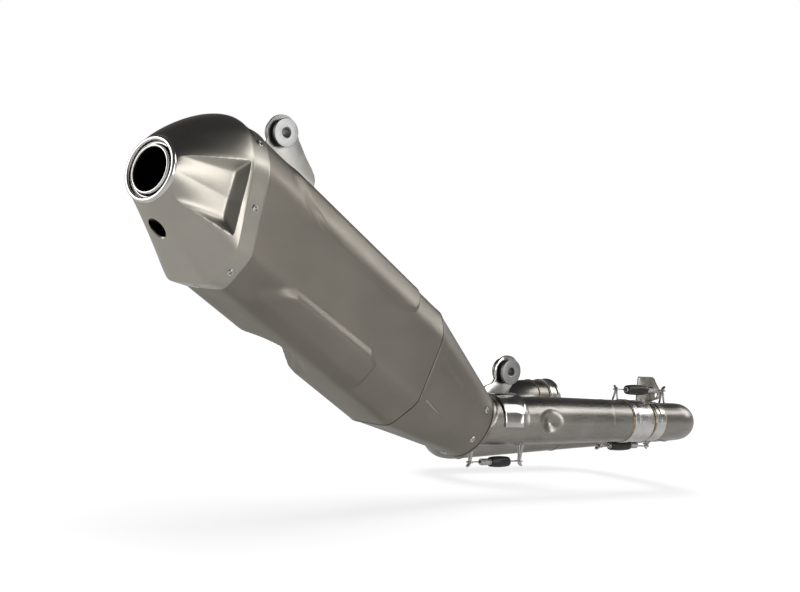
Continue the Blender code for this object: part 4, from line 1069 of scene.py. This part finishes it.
def satin_plate(name, dark, light, roughness, strength):
    """Plate with a rolled grain along X, and clouded handling marks."""
    made, nodes, links, shader = new_material(name)
    grain = object_noise(nodes, links, 500.0, 4.0, (0.12, 1.0, 1.0))
    clouds = object_noise(nodes, links, 70.0, 3.0)
    tone = shift(nodes, links, clouds.outputs["Fac"], 0.0, 1.0)
    links.new(blend_colours(nodes, links, tone, (*dark, 1), (*light, 1)), shader.inputs["Base Color"])
    rough = shift(nodes, links, clouds.outputs["Fac"], roughness - 0.05, roughness + 0.06)
    links.new(rough, shader.inputs["Roughness"])
    shader.inputs["Metallic"].default_value = 1.0
    add_bump(nodes, links, shader, grain.outputs["Fac"], strength, 0.0001)
    return made


SATIN_PLATE = satin_plate("satin_plate", (0.34, 0.33, 0.31), (0.41, 0.40, 0.375), 0.38, 0.15)
finish_piece(build_rear_bracket(), SATIN_PLATE, "brushed_titanium", "muffler", "rear_bracket")
SADDLE_FINISH = satin_plate("polished_saddle", (0.55, 0.53, 0.50), (0.70, 0.68, 0.65), 0.15, 0.08)
finish_piece(build_front_bracket(), SADDLE_FINISH, "brushed_titanium", "muffler", "front_bracket")

# Bushes and grommets ------------------------------------------------------------------------------
# A flanged aluminium bush takes the mounting bolt, and a black rubber grommet holds it in the
# bracket's eye, so the muffler can shake without cracking its mounts. The flange is faced on a lathe
# and its bore is chamfered.

BUSH = [(0.0042, 0.0160), (0.0042, 0.0006), (0.0052, 0.0), (0.0133, 0.0), (0.0133, 0.0025), (0.0075, 0.0025)]
BUSH += [(0.0075, 0.0135), (0.0133, 0.0135), (0.0133, 0.0160)]
BUSH_ROUNDING = (0.0003, 0.0, 0.0001, 0.0006, 0.0004, 0.0003, 0.0003, 0.0004, 0.0005)
GROMMET = [(0.0078, 0.0028), (0.0125, 0.0028), (0.0125, 0.00645), (0.0102, 0.00645), (0.0102, 0.00955)]
GROMMET += [(0.0125, 0.00955), (0.0125, 0.0132), (0.0078, 0.0132)]
GROMMET_ROUNDING = (0.0003, 0.0010, 0.0006, 0.0002, 0.0002, 0.0006, 0.0010, 0.0003)


def rubber(name, light=0.030, roughness=0.52):
    """Black moulded rubber with a dusty bloom."""
    made, nodes, links, shader = new_material(name)
    bloom = object_noise(nodes, links, 220.0, 4.0)
    skin = object_noise(nodes, links, 2600.0, 2.0)
    tone = shift(nodes, links, bloom.outputs["Fac"], 0.0, 1.0)
    black, dusty = (0.010, 0.010, 0.010, 1), (light, light, light, 1)
    links.new(blend_colours(nodes, links, tone, black, dusty), shader.inputs["Base Color"])
    rough = shift(nodes, links, bloom.outputs["Fac"], roughness - 0.08, roughness + 0.10)
    links.new(rough, shader.inputs["Roughness"])
    shader.inputs["Specular IOR Level"].default_value = 0.45
    add_bump(nodes, links, shader, skin.outputs["Fac"], 0.2, 0.00008)
    return made


GROMMET_RUBBER = rubber("grommet_rubber")
for side, eye in (("rear", REAR_EYE), ("front", FRONT_EYE)):
    face = Matrix.Translation((eye.x, BUSH_FACE_Y, eye.z)) @ Matrix.Rotation(math.radians(-90), 4, "X")
    bush = turned(f"{side}_flanged_bush", rounded(BUSH, BUSH_ROUNDING), face, 72)
    aluminium = machined(f"{side}_bush_aluminium", (0.34, 0.34, 0.335), 0.30, face, 0.6)
    finish_piece(bush, aluminium, "turned_aluminium", f"{side}_bush_body", f"{side}_bush")
    grommet = turned(f"{side}_rubber_grommet", rounded(GROMMET, GROMMET_ROUNDING), face, 60)
    finish_piece(grommet, GROMMET_RUBBER, "black_rubber", "muffler", f"{side}_grommet")

# Mid pipe -----------------------------------------------------------------------------------------
# The mid pipe is seamed titanium tube, swollen a little behind the slip joint and tapered towards it.
# A round dent beside the engine's case gives clearance. It is brushed along its length, with a row of
# fine rings where it was finished in the lathe.

MID_REAR_X, MID_FRONT_X = -0.140, 0.0492
MID_SHAPE = ((-0.140, 0.0241), (-0.115, 0.0240), (-0.102, 0.0246), (-0.085, 0.0250))
MID_SHAPE += ((-0.040, 0.0245), (0.000, 0.0237), (0.030, 0.0232), (0.0492, 0.0231))
SEAM_X = 0.018
DENT_X, DENT_WIDTH, DENT_DEPTH = -0.081, 0.0125, 0.0066


def mid_reach(point, rim, distance):
    """The pipe's radius: its long swell, less the round dent with its raised edge on the right."""
    reach = np.interp(point[0], *zip(*MID_SHAPE))
    around = (np.arctan2(rim[:, 2], -rim[:, 1])) * reach
    away = ((point[0] - DENT_X) ** 2 + around**2) / DENT_WIDTH**2
    lip = np.exp(-((np.sqrt(away) - 1.25) ** 2) * 9.0) * 0.00045
    seam = 0.00025 * math.exp(-(((point[0] - SEAM_X) / 0.0016) ** 2))
    return reach - DENT_DEPTH * np.exp(-away * 1.45) + lip + seam


def mid_route():
    stations = crowded(MID_REAR_X, MID_FRONT_X, 110, ((DENT_X, 0.018, 3.0), (SEAM_X, 0.003, 3.0)))
    return [Vector((x, PIPE_Y, PIPE_Z)) for x in stations]


mid = swept("mid_pipe_tube", mid_route(), mid_reach, welds=(-0.0015,), weld_width=0.018, sides=180)
MID_FINISH = drawn_tube("brushed_mid_pipe", (0.31, 0.293, 0.266), (0.39, 0.369, 0.336), 0.28)
finish_piece(mid, MID_FINISH, "brushed_titanium", "mid_pipe_section", "mid_pipe")

# Slip joint ---------------------------------------------------------------------------------------
# The mid pipe ends in a turned spigot with a stop bead, which slides into a machined socket on the
# header. The socket's band is polished, with a small oval window near its end. TIG beads join both to
# their tubes, and leave straw and brown tints.

JOINT = Matrix.Translation((0.0, PIPE_Y, PIPE_Z)) @ Matrix.Rotation(math.radians(90), 4, "Y")
HEADER_RADIUS = 0.0205
SPIGOT = [(0.0202, 0.0495), (0.0226, 0.0495), (0.0230, 0.0503), (0.0240, 0.0503)]
SPIGOT += [(0.0240, 0.0579), (0.0214, 0.0579), (0.0214, 0.0802), (0.0202, 0.0802)]
SPIGOT_ROUNDING = (0.0, 0.0003, 0.0002, 0.0010, 0.0010, 0.0002, 0.0005, 0.0003)
SOCKET = [(0.0217, 0.0582), (0.0232, 0.0582), (0.0232, 0.0822), (0.0222, 0.0838)]
SOCKET += [(0.0212, 0.0855), (0.0211, 0.0890), (0.0219, 0.0900), (0.0219, 0.0930)]
SOCKET += [(0.0212, 0.0938), (0.0212, 0.0956), (0.0220, 0.0966), (0.0220, 0.1034)]
SOCKET += [(0.0214, 0.1048), (0.0193, 0.1048), (0.0193, 0.0840), (0.0217, 0.0812)]
SOCKET_ROUNDING = (0.0003, 0.0006, 0.0008, 0.0010, 0.0010, 0.0006, 0.0005, 0.0005)
SOCKET_ROUNDING += (0.0004, 0.0004, 0.0006, 0.0006, 0.0004)


def add_heat(piece, welds, width):
    """Marks how hot each place of a joint piece ran when its beads were laid, by its X."""
    warm = piece.data.attributes.new("heat", "FLOAT", "POINT")
    flow = piece.data.attributes.new("straightened", "FLOAT_VECTOR", "POINT")
    for vertex, heat, place in zip(piece.data.vertices, warm.data, flow.data):
        heat.value = max(math.exp(-(((vertex.co.x - weld) / width) ** 2)) for weld in welds)
        place.vector = vertex.co
    return piece


def bright_joint(name):
    """Turned titanium, polished, with its own heat tints."""
    made, nodes, links, shader = new_material(name)
    marks = turning_marks(nodes, links, JOINT, 1500.0)
    clouds = object_noise(nodes, links, 120.0, 4.0)
    tone = shift(nodes, links, clouds.outputs["Fac"], 0.0, 1.0)
    base = blend_colours(nodes, links, tone, (0.62, 0.60, 0.57, 1), (0.78, 0.76, 0.73, 1))
    colour_with_heat(nodes, links, shader, base)
    links.new(shift(nodes, links, clouds.outputs["Fac"], 0.17, 0.32), shader.inputs["Roughness"])
    shader.inputs["Metallic"].default_value = 1.0
    add_bump(nodes, links, shader, marks, 0.25, 0.0001)
    return made


JOINT_FINISH = bright_joint("polished_joint")
spigot = turned("stop_bead_spigot", rounded(SPIGOT, SPIGOT_ROUNDING), JOINT, 96)
add_heat(spigot, (0.0488,), 0.0035)
finish_piece(spigot, JOINT_FINISH, "brushed_titanium", "mid_pipe_section", "joint_spigot")
socket = turned("slip_socket", rounded(SOCKET, SOCKET_ROUNDING), JOINT, 128)
window = Matrix.Translation((0.0792, PIPE_Y, PIPE_Z + 0.0006)) @ Matrix.Rotation(math.radians(90), 4, "X")
pierce(socket, window, 0.0008, 0.0222, 0.030, 1.9)
add_heat(socket, (0.0868, 0.0946, 0.1040), 0.0042)
finish_piece(socket, JOINT_FINISH, "machined_titanium", "header", "joint_socket")


def weld_metal(name):
    """The bead that a TIG torch leaves: bright ripples, straw to brown."""
    brown, straw = (0.20, 0.13, 0.08), (0.52, 0.42, 0.30)
    return toned_metal(name, (400.0, 3.0), brown, straw, (0.18, 0.34), 0.2)


WELD_METAL = weld_metal("weld_bead")


def laid_bead(name, radius, place, width=0.0026, height=0.0007, ripples=64):
    """A rippled bead round a tube, in the place's XY plane."""
    sides = {"major_segments": ripples * 4, "minor_segments": 10}
    bpy.ops.mesh.primitive_torus_add(**sides, major_radius=radius, minor_radius=0.001)
    piece = bpy.context.object
    piece.name = name
    for vertex in piece.data.vertices:
        turn = math.atan2(vertex.co.y, vertex.co.x)
        off = vertex.co.xy.length - radius
        ripple = 1 + 0.16 * abs(math.sin(turn * ripples / 2 + vertex.co.z * 900))
        reach = radius - 0.0001 + off * (height / 0.001) * ripple
        vertex.co = (reach * math.cos(turn), reach * math.sin(turn), vertex.co.z * width / 0.002)
    piece.data.transform(place)
    piece.select_set(True)
    bpy.ops.object.shade_smooth()
    piece.select_set(False)
    return piece


def along_pipe(x):
    return Matrix.Translation((x, PIPE_Y, PIPE_Z)) @ Matrix.Rotation(math.radians(90), 4, "Y")


def add_weld(name, radius, place, body):
    finish_piece(laid_bead(name, radius, place), WELD_METAL, "brushed_titanium", body)


add_weld("mid_pipe_weld", 0.0231, along_pipe(0.0492), "mid_pipe_section")
add_weld("socket_weld", 0.0212, along_pipe(0.0872), "header")
add_weld("elbow_weld", 0.0206, along_pipe(0.1056), "header")
neck = Matrix.Translation((FLANGE_NECK_X + 0.0032, PIPE_Y, PIPE_Z))
tilt = MUFFLER.to_3x3().to_4x4() @ Matrix.Rotation(math.radians(90), 4, "Y")
add_weld("inlet_weld", 0.0260, neck @ tilt, "muffler")


def build_joint_bracket():
    """A small upright plate on the socket, with a drilled arm in front."""
    rest = PIPE_Z + 0.0197
    top = PIPE_Z + 0.049
    shape = [(0.0860, rest), (0.0860, top - 0.0015), (0.0875, top)]
    shape += [(0.108 + x, top - 0.008 + y) for x, y in arc_points(0.008, 90, 20, 6)]
    shape += [(0.1240, rest + 0.0150), (0.1262, rest + 0.0110), (0.1268, rest + 0.0050)]
    shape += [(0.1180, rest + 0.0030), (0.1040, rest)]
    place = Matrix.Translation((0.0, PIPE_Y + 0.010, 0.0)) @ Matrix.Rotation(math.radians(90), 4, "X")
    plate = cut_plate("joint_bracket_plate", shape, PLATE, place)
    hole = place @ Matrix.Translation((0.1190, rest + 0.0085, 0.0))
    pierce(plate, hole, 0.0028, -0.01, 0.01)
    return softened(plate, 0.0005)


bracket = build_joint_bracket()
HANDLED = satin_plate("handled_plate", (0.34, 0.32, 0.29), (0.50, 0.475, 0.435), 0.27, 0.2)
finish_piece(bracket, HANDLED, "brushed_titanium", "header", "joint_bracket")

# Header -------------------------------------------------------------------------------------------
# The header leaves the cylinder head to the rear, curls to the left side, runs forward and crosses in
# front of the cylinder to the slip joint. It is welded from bent titanium tubes, and a turned collar
# with a groove for the clamp is welded on at the port.

PORT_X, CURL_X, CURL_BEND = -0.014, -0.082, 0.052
LEFT_Y, LEFT_REAR_Z, LEFT_FRONT_Z = 0.110, -0.066, -0.052
CROSSING_X, FRONT_BEND, ELBOW_BEND = 0.173, 0.050, 0.042
ELBOW_END_X = 0.1050


def header_bends():
    port, top = Vector((PORT_X, 0.0, 0.0)), Vector((CURL_X, 0.0, 0.0))
    low, left = Vector((CURL_X, LEFT_Y, LEFT_REAR_Z)), Vector((CROSSING_X, LEFT_Y, LEFT_FRONT_Z))
    right, end = Vector((CROSSING_X, PIPE_Y, PIPE_Z)), Vector((ELBOW_END_X, PIPE_Y, PIPE_Z))
    bends = [bend(port, top, low, CURL_BEND, 20), bend(top, low, left, CURL_BEND, 20)]
    bends += [bend(low, left, right, FRONT_BEND, 20), bend(left, right, end, ELBOW_BEND, 20)]
    return port, bends, end


def build_header():
    """One swept tube, and the places of its welds as (point, direction)."""
    port, bends, end = header_bends()
    corners = [port] + [point for arc in bends for point in arc] + [end]
    route = dense(corners, 0.0085)
    spots = [bends[0][0], bends[1][-1], bends[2][0], bends[2][-1], bends[3][0]]
    distances = []
    for spot in spots:
        nearest = min(range(len(route)), key=lambda i: (route[i] - spot).length)
        distances.append(sum((b - a).length for a, b in zip(route[:nearest], route[1 : nearest + 1])))
    start, run, crossing = bends[0][0] - port, bends[2][0] - bends[1][-1], bends[3][0] - bends[2][-1]
    aims = [start, run, run, crossing, crossing]
    welds = (0.001, *distances, -0.001)
    tube = swept("header_tube", route, HEADER_RADIUS, welds=welds, weld_width=0.015, sides=84)
    return tube, list(zip(spots, aims))


HEADER_NODES = ("port_tube", "header_curl", "left_run", "front_left_bend", "front_crossing", "right_elbow")
header, header_welds = build_header()
finish_piece(header, DRAWN_TUBE, "brushed_titanium", "header", *HEADER_NODES)
for i, (spot, aim) in enumerate(header_welds):
    place = Matrix.Translation(spot) @ aim.to_track_quat("Z", "Y").to_matrix().to_4x4()
    add_weld(f"header_weld_{i + 1}", HEADER_RADIUS + 0.0001, place, "header")

PORT = Matrix.Rotation(math.radians(90), 4, "Y")
PORT_COLLAR = [(0.0193, 0.0), (0.0193, -0.0140), (0.0219, -0.0140), (0.0219, -0.0092)]
PORT_COLLAR += [(0.0211, -0.0082), (0.0211, -0.0042), (0.0225, -0.0032), (0.0225, 0.0)]
PORT_ROUNDING = (0.0004, 0.0002, 0.0006, 0.0008, 0.0008, 0.0008, 0.0008, 0.0006)
collar = turned("port_ring", rounded(PORT_COLLAR, PORT_ROUNDING), PORT, 96)
finish_piece(add_heat(collar, (-0.0140,), 0.0035), JOINT_FINISH, "brushed_titanium", "header", "port_collar")
add_weld("port_weld", 0.0207, PORT @ Matrix.Translation((0.0, 0.0, -0.0146)), "header")

# Hooks --------------------------------------------------------------------------------------------
# Each spring hangs between two hooks bent from stainless wire. Both feet of a hook are welded to the
# tube, and its tip curls back so that the spring's eye can't jump off.

WIRE_RADIUS, SPRING_WIRE, COIL_RADIUS = 0.0012, 0.0008, 0.0036


def flowing(points, steps=8):
    """A smooth curve through the points."""
    points = [Vector(point) for point in points]
    points = [points[0] * 2 - points[1], *points, points[-1] * 2 - points[-2]]
    made = []
    for a, b, c, d in zip(points, points[1:], points[2:], points[3:]):
        for i in range(steps):
            t = i / steps
            curved = (2 * a - 5 * b + 4 * c - d) * t**2 + (3 * b - a - 3 * c + d) * t**3
            made.append(0.5 * (2 * b + (c - a) * t + curved))
    return [*made, points[-2]]


def bent_wire(name, points, radius, resolution=3):
    """A wire along the points, with rounded-off ends."""
    curve = bpy.data.curves.new(name, "CURVE")
    curve.dimensions = "3D"
    curve.bevel_depth, curve.bevel_resolution, curve.use_fill_caps = radius, resolution, True
    spline = curve.splines.new("POLY")
    spline.points.add(len(points) - 1)
    for target, point in zip(spline.points, points):
        target.co = (*point, 1.0)
    spline.points[0].radius = spline.points[-1].radius = 0.6
    piece = bpy.data.objects.new(name, curve)
    bpy.context.collection.objects.link(piece)
    bpy.context.view_layer.objects.active = piece
    piece.select_set(True)
    bpy.ops.object.convert(target="MESH")
    piece = bpy.context.object
    bpy.ops.object.mode_set(mode="EDIT")
    bpy.ops.mesh.select_all(action="SELECT")
    bpy.ops.mesh.remove_doubles(threshold=0.000005)
    bpy.ops.mesh.normals_make_consistent(inside=False)
    bpy.ops.object.mode_set(mode="OBJECT")
    bpy.ops.object.shade_smooth_by_angle(angle=math.radians(50))
    piece.select_set(False)
    return piece


def spring_steel(name):
    """Polished spring wire, with small dark marks from drawing."""
    dark, light = (0.40, 0.39, 0.38), (0.74, 0.73, 0.72)
    return toned_metal(name, (900.0, 4.0), dark, light, (0.14, 0.28), 0.12, 0.00005)


SPRING_STEEL = spring_steel("drawn_spring_wire")


def wire_hook(name, foot, up, back, height, body, node):
    """A hook on a tube: two welded legs, and a tip curled back over the spring's eye."""
    side = up.cross(back)
    shape = ((-4.2, -0.3, 0.6), (-3.0, 1.6, 0.3), (-1.5, height * 700, 0.0))
    shape += ((-1.05, height * 1000 + 1.0, 0.2), (-1.0, height * 1000 + 2.9, 1.5))
    shape += ((-0.55, height * 1000 + 3.9, 2.9),)
    shape += tuple((-across, rise, lean) for across, rise, lean in reversed(shape))
    points = [foot + (side * across + up * rise + back * lean) / 1000 for across, rise, lean in shape]
    hook = bent_wire(name, flowing(points, 6), WIRE_RADIUS)
    finish_piece(hook, SPRING_STEEL, "spring_steel", body, node)


UP, DOWN, FORWARD = Vector((0.0, 0.0, 1.0)), Vector((0.0, 0.0, -1.0)), Vector((1.0, 0.0, 0.0))
AXIS = Vector((0.0, PIPE_Y, PIPE_Z))
HEADER_SPRINGS = (("top", UP), ("bottom", Vector((0.0, 0.5, -math.sqrt(0.75)))))
SPRING_REACH, SPRING_REAR_X, SPRING_FRONT_X = 0.0347, 0.040, 0.118
MUFFLER_SPRING_Z, MUFFLER_REAR_X, MUFFLER_FRONT_X = -0.059, -0.170, -0.100



def hook_on_tube(name, x, up, back, tube, reach, body, node):
    """A hook on the pipe's line at X: the tube's radius is its foot, and the spring is at reach."""
    wire_hook(name, AXIS + FORWARD * x + up * tube, up, back, reach - tube, body, node)


for side, up in HEADER_SPRINGS:
    name, node = f"mid_pipe_{side}_wire_hook", f"mid_pipe_{side}_hook"
    hook_on_tube(name, SPRING_REAR_X, up, -FORWARD, 0.0236, SPRING_REACH, "mid_pipe_section", node)
    name, node = f"header_{side}_wire_hook", f"header_{side}_hook"
    hook_on_tube(name, SPRING_FRONT_X, up, FORWARD, 0.0208, SPRING_REACH, "header", node)
name, node, drop = "mid_pipe_rear_wire_hook", "mid_pipe_rear_hook", PIPE_Z - MUFFLER_SPRING_Z
hook_on_tube(name, MUFFLER_FRONT_X, DOWN, FORWARD, 0.0246, drop, "mid_pipe_section", node)
name, node = "muffler_wire_hook", "muffler_spring_hook"
hook_on_tube(name, MUFFLER_REAR_X, DOWN, -FORWARD, 0.0263, drop, "muffler", node)

# Springs ------------------------------------------------------------------------------------------
# Three close-wound springs hold the joints together and stretch as they move. Each has an eye round
# each hook, and a barrel of black silicone rubber over part of its coil stops it from ringing.


def spring_path(start, end, side):
    """The wire's whole path: an eye, the close-wound coil and the other eye."""
    along = (end - start).normalized()
    up = side.cross(along)
    length = (end - start).length
    eye, mean = 0.0031, COIL_RADIUS - SPRING_WIRE
    coil_start, coil_end = length * 0.20, length * 0.80
    turns = round((coil_end - coil_start) / 0.00168)

    def eye_arc(centre, inward):
        angles = np.radians(np.linspace(42, 318, 16))
        return [centre + inward * eye * math.cos(a) + side * eye * math.sin(a) for a in angles]

    coil = []
    for i in range(turns * 14 + 1):
        share = i / (turns * 14)
        turn = math.tau * share * turns
        swell = mean * (0.62 + 0.38 * eased(0.0, 0.035, min(share, 1 - share)))
        centre = start + along * (coil_start + (coil_end - coil_start) * share)
        coil.append(centre + side * swell * math.cos(turn) + up * swell * math.sin(turn))
    first, last = eye_arc(start, along)[::-1], eye_arc(end, -along)
    entry = start + along * (coil_start * 0.72) + side * mean * 0.5
    leaving = end - along * (coil_start * 0.72) + side * mean * 0.5
    lead_in = flowing([first[-2], first[-1], entry, coil[0], coil[1]], 5)
    lead_out = flowing([coil[-2], coil[-1], leaving, last[0], last[1]], 5)
    return [*first[:-1], *lead_in[5:-5], *coil, *lead_out[5:-5], *last[1:]]


def silicone_barrel(name, start, end):
    """A soft sleeve over the coil, a little fatter in the middle."""
    length = (end - start).length
    outer = [(0.0049 + 0.0009 * math.sin(math.pi * i / 12) ** 0.7, length * i / 12) for i in range(13)]
    profile = [(0.0039, length), (0.0039, 0.0), *outer]
    place = Matrix.Translation(start) @ (end - start).to_track_quat("Z", "Y").to_matrix().to_4x4()
    return turned(name, rounded(profile, (0.0002, 0.0002, 0.0005)), place, 40)


SILICONE = rubber("black_silicone", 0.022, 0.34)


def mounted_spring(name, start, end, side, share, nodes):
    """A spring and its barrel, over the joint that they cross."""
    wire = bent_wire(f"{name}_wire", spring_path(start, end, side), SPRING_WIRE, 2)
    barrel = silicone_barrel(f"{name}_barrel", start.lerp(end, share[0]), start.lerp(end, share[1]))
    looks = ((wire, SPRING_STEEL, "spring_steel"), (barrel, SILICONE, "black_rubber"))
    for (piece, material, slot), node in zip(looks, nodes):
        piece.data.materials.clear()
        piece.data.materials.append(material)
        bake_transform(piece)
        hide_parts(node)


for side, up in HEADER_SPRINGS:
    start = AXIS + FORWARD * SPRING_REAR_X + up * SPRING_REACH
    end = AXIS + FORWARD * SPRING_FRONT_X + up * SPRING_REACH
    nodes = (f"header_spring_{side}", f"header_spring_{side}_sleeve")
    bodies = ("mid_pipe_section", "header")
    mounted_spring(f"{side}_spring", start, end, up.cross(FORWARD), (0.22, 0.62), nodes)
start = Vector((MUFFLER_REAR_X, PIPE_Y, MUFFLER_SPRING_Z))
end = Vector((MUFFLER_FRONT_X, PIPE_Y, MUFFLER_SPRING_Z))
across, bodies = Vector((0.0, 1.0, 0.0)), ("muffler", "mid_pipe_section")
nodes = ("muffler_spring", "muffler_spring_sleeve")
mounted_spring("rear_spring", start, end, across, (0.40, 0.76), nodes)

# Core and packing ---------------------------------------------------------------------------------
# Out of sight in the muffler, a perforated tube carries the gas, and glass wool packed round it takes
# up the noise. The tube is blackened with soot, and the wool is cream at the sleeve and browned near
# the tube.


def sooty_tube(name):
    black, brown = (0.030, 0.026, 0.023), (0.21, 0.18, 0.155)
    return toned_metal(name, (90.0, 5.0), black, brown, (0.75, 0.40), 0.3, 0.0003)


def glass_wool(name):
    made, nodes, links, shader = new_material(name)
    fibres = object_noise(nodes, links, 260.0, 6.0, (0.35, 1.0, 1.0))
    scorch = object_noise(nodes, links, 28.0, 3.0)
    pale = blend_colours(nodes, links, fibres.outputs["Fac"], (0.62, 0.56, 0.40, 1), (0.90, 0.86, 0.72, 1))
    browned = shift(nodes, links, scorch.outputs["Fac"], 0.0, 0.6)
    toned = blend_colours(nodes, links, browned, pale, (0.30, 0.22, 0.14, 1))
    links.new(toned, shader.inputs["Base Color"])
    links.new(shift(nodes, links, fibres.outputs["Fac"], 0.85, 1.0), shader.inputs["Roughness"])
    shader.inputs["Sheen Weight"].default_value = 0.3
    add_bump(nodes, links, shader, fibres.outputs["Fac"], 0.8, 0.0008)
    return made


HIDDEN = (("core_tube", sooty_tube("sooted_core")), ("packing", glass_wool("scorched_glass_wool")))
for node, finish in HIDDEN:
    cad_piece = bpy.data.objects[node]
    for place in cad_piece.material_slots:
        place.material = finish

# Studio -------------------------------------------------------------------------------------------
# The system floats just above a white floor that runs on behind it without a horizon. Soft lights stand
# to the right, ahead and beyond the outlet, one hangs overhead, and the world is grey at its sides.


def build_floor():
    """White paper, which stays white as far as it is seen, with room for a faint shadow near the part."""
    bpy.ops.mesh.primitive_plane_add(size=200.0, location=(0.0, 0.0, cad_box[0][2] - 0.015))
    floor = bpy.context.object
    floor.name = "studio_floor"
    paper, nodes, links, shader = new_material("white_paper")
    where = nodes.new("ShaderNodeTexCoord")
    length = nodes.new("ShaderNodeVectorMath")
    length.operation = "LENGTH"
    links.new(where.outputs["Object"], length.inputs[0])
    seen = nodes.new("ShaderNodeLightPath")
    glow = nodes.new("ShaderNodeMix")
    links.new(seen.outputs["Is Camera Ray"], glow.inputs["Factor"])
    glow.inputs["A"].default_value = 0.33
    links.new(shift(nodes, links, length.outputs["Value"], 0.78, 1.0, 0.5, 1.6), glow.inputs["B"])
    links.new(glow.outputs["Result"], shader.inputs["Emission Strength"])
    shader.inputs["Emission Color"].default_value = (1.0, 1.0, 1.0, 1)
    shader.inputs["Base Color"].default_value = (0.26, 0.26, 0.26, 1)
    shader.inputs["Roughness"].default_value = 1.0
    shader.inputs["Specular IOR Level"].default_value = 0.0
    floor.data.materials.append(paper)


build_floor()


def build_world():
    """White where the camera sees it; in the metal it is dark overhead and grey at the sides."""
    world = bpy.data.worlds.new("studio_world")
    bpy.context.scene.world = world
    world.use_nodes = True
    nodes, links = world.node_tree.nodes, world.node_tree.links
    where = nodes.new("ShaderNodeTexCoord")
    apart = nodes.new("ShaderNodeSeparateXYZ")
    links.new(where.outputs["Generated"], apart.inputs["Vector"])
    ramp = nodes.new("ShaderNodeValToRGB")
    low, high = ramp.color_ramp.elements
    low.position, low.color = 0.45, (0.36, 0.357, 0.350, 1)
    high.position, high.color = 0.80, (0.05, 0.05, 0.052, 1)
    links.new(shift(nodes, links, apart.outputs["Z"], 0.0, 1.0, -1.0, 1.0), ramp.inputs["Fac"])
    seen = nodes.new("ShaderNodeLightPath")
    camera_ray, white = seen.outputs["Is Camera Ray"], (1.0, 1.0, 1.0, 1)
    colour = blend_colours(nodes, links, camera_ray, ramp.outputs["Color"], white)
    links.new(colour, nodes["Background"].inputs["Color"])
    nodes["Background"].inputs["Strength"].default_value = 1.0


build_world()


def soft_light(name, place, target, width, height, power):
    bpy.ops.object.light_add(type="AREA", location=place)
    light = bpy.context.object
    light.name = name
    light.data.shape = "RECTANGLE"
    light.data.size, light.data.size_y = width, height
    light.data.energy = power
    aim = Vector(target) - Vector(place)
    light.rotation_mode = "QUATERNION"
    light.rotation_quaternion = aim.to_track_quat("-Z", "Y")
    return light


soft_light("key_light", (0.80, -2.40, 0.42), (-0.55, -0.15, 0.16), 1.1, 1.6, 17.0)
soft_light("rib_light", (1.75, -1.35, 1.75), (-0.3, -0.14, 0.08), 1.7, 0.9, 13.0)
soft_light("mouth_light", (-2.10, 1.05, 0.75), (-0.6, -0.15, 0.18), 1.3, 1.3, 11.0)
soft_light("front_light", (2.35, -0.10, 0.98), (-0.40, -0.14, 0.10), 1.0, 0.9, 7.5)
overhead = soft_light("overhead_light", (-0.1, 0.0, 2.2), (-0.1, 0.0, 0.0), 1.6, 1.6, 42.0)
overhead.visible_glossy = False

CAMERA_PLACE = Vector((-1.2067, -1.1775, 0.1265))
LOOK_TURN, LOOK_PITCH, LOOK_ROLL = math.radians(39.8), math.radians(-0.9), math.radians(4.99)


def build_camera():
    """A long lens from behind and to the right, low and rolled a little, as the system is shown."""
    flat = math.cos(LOOK_PITCH)
    ahead = Vector((math.sin(LOOK_TURN) * flat, math.cos(LOOK_TURN) * flat, math.sin(LOOK_PITCH)))
    level = ahead.cross(Vector((0, 0, 1))).normalized()
    upright = level.cross(ahead)
    right = level * math.cos(LOOK_ROLL) + upright * math.sin(LOOK_ROLL)
    above = upright * math.cos(LOOK_ROLL) - level * math.sin(LOOK_ROLL)
    bpy.ops.object.camera_add()
    camera = bpy.context.object
    camera.name = "studio_camera"
    facing = Matrix((right, above, -ahead)).transposed().to_4x4()
    camera.matrix_world = Matrix.Translation(CAMERA_PLACE) @ facing
    camera.data.lens, camera.data.sensor_width = 67.5, 36.0
    camera.data.clip_start, camera.data.clip_end = 0.05, 400.0
    bpy.context.scene.camera = camera


build_camera()
bpy.context.scene.view_settings.view_transform = "Standard"
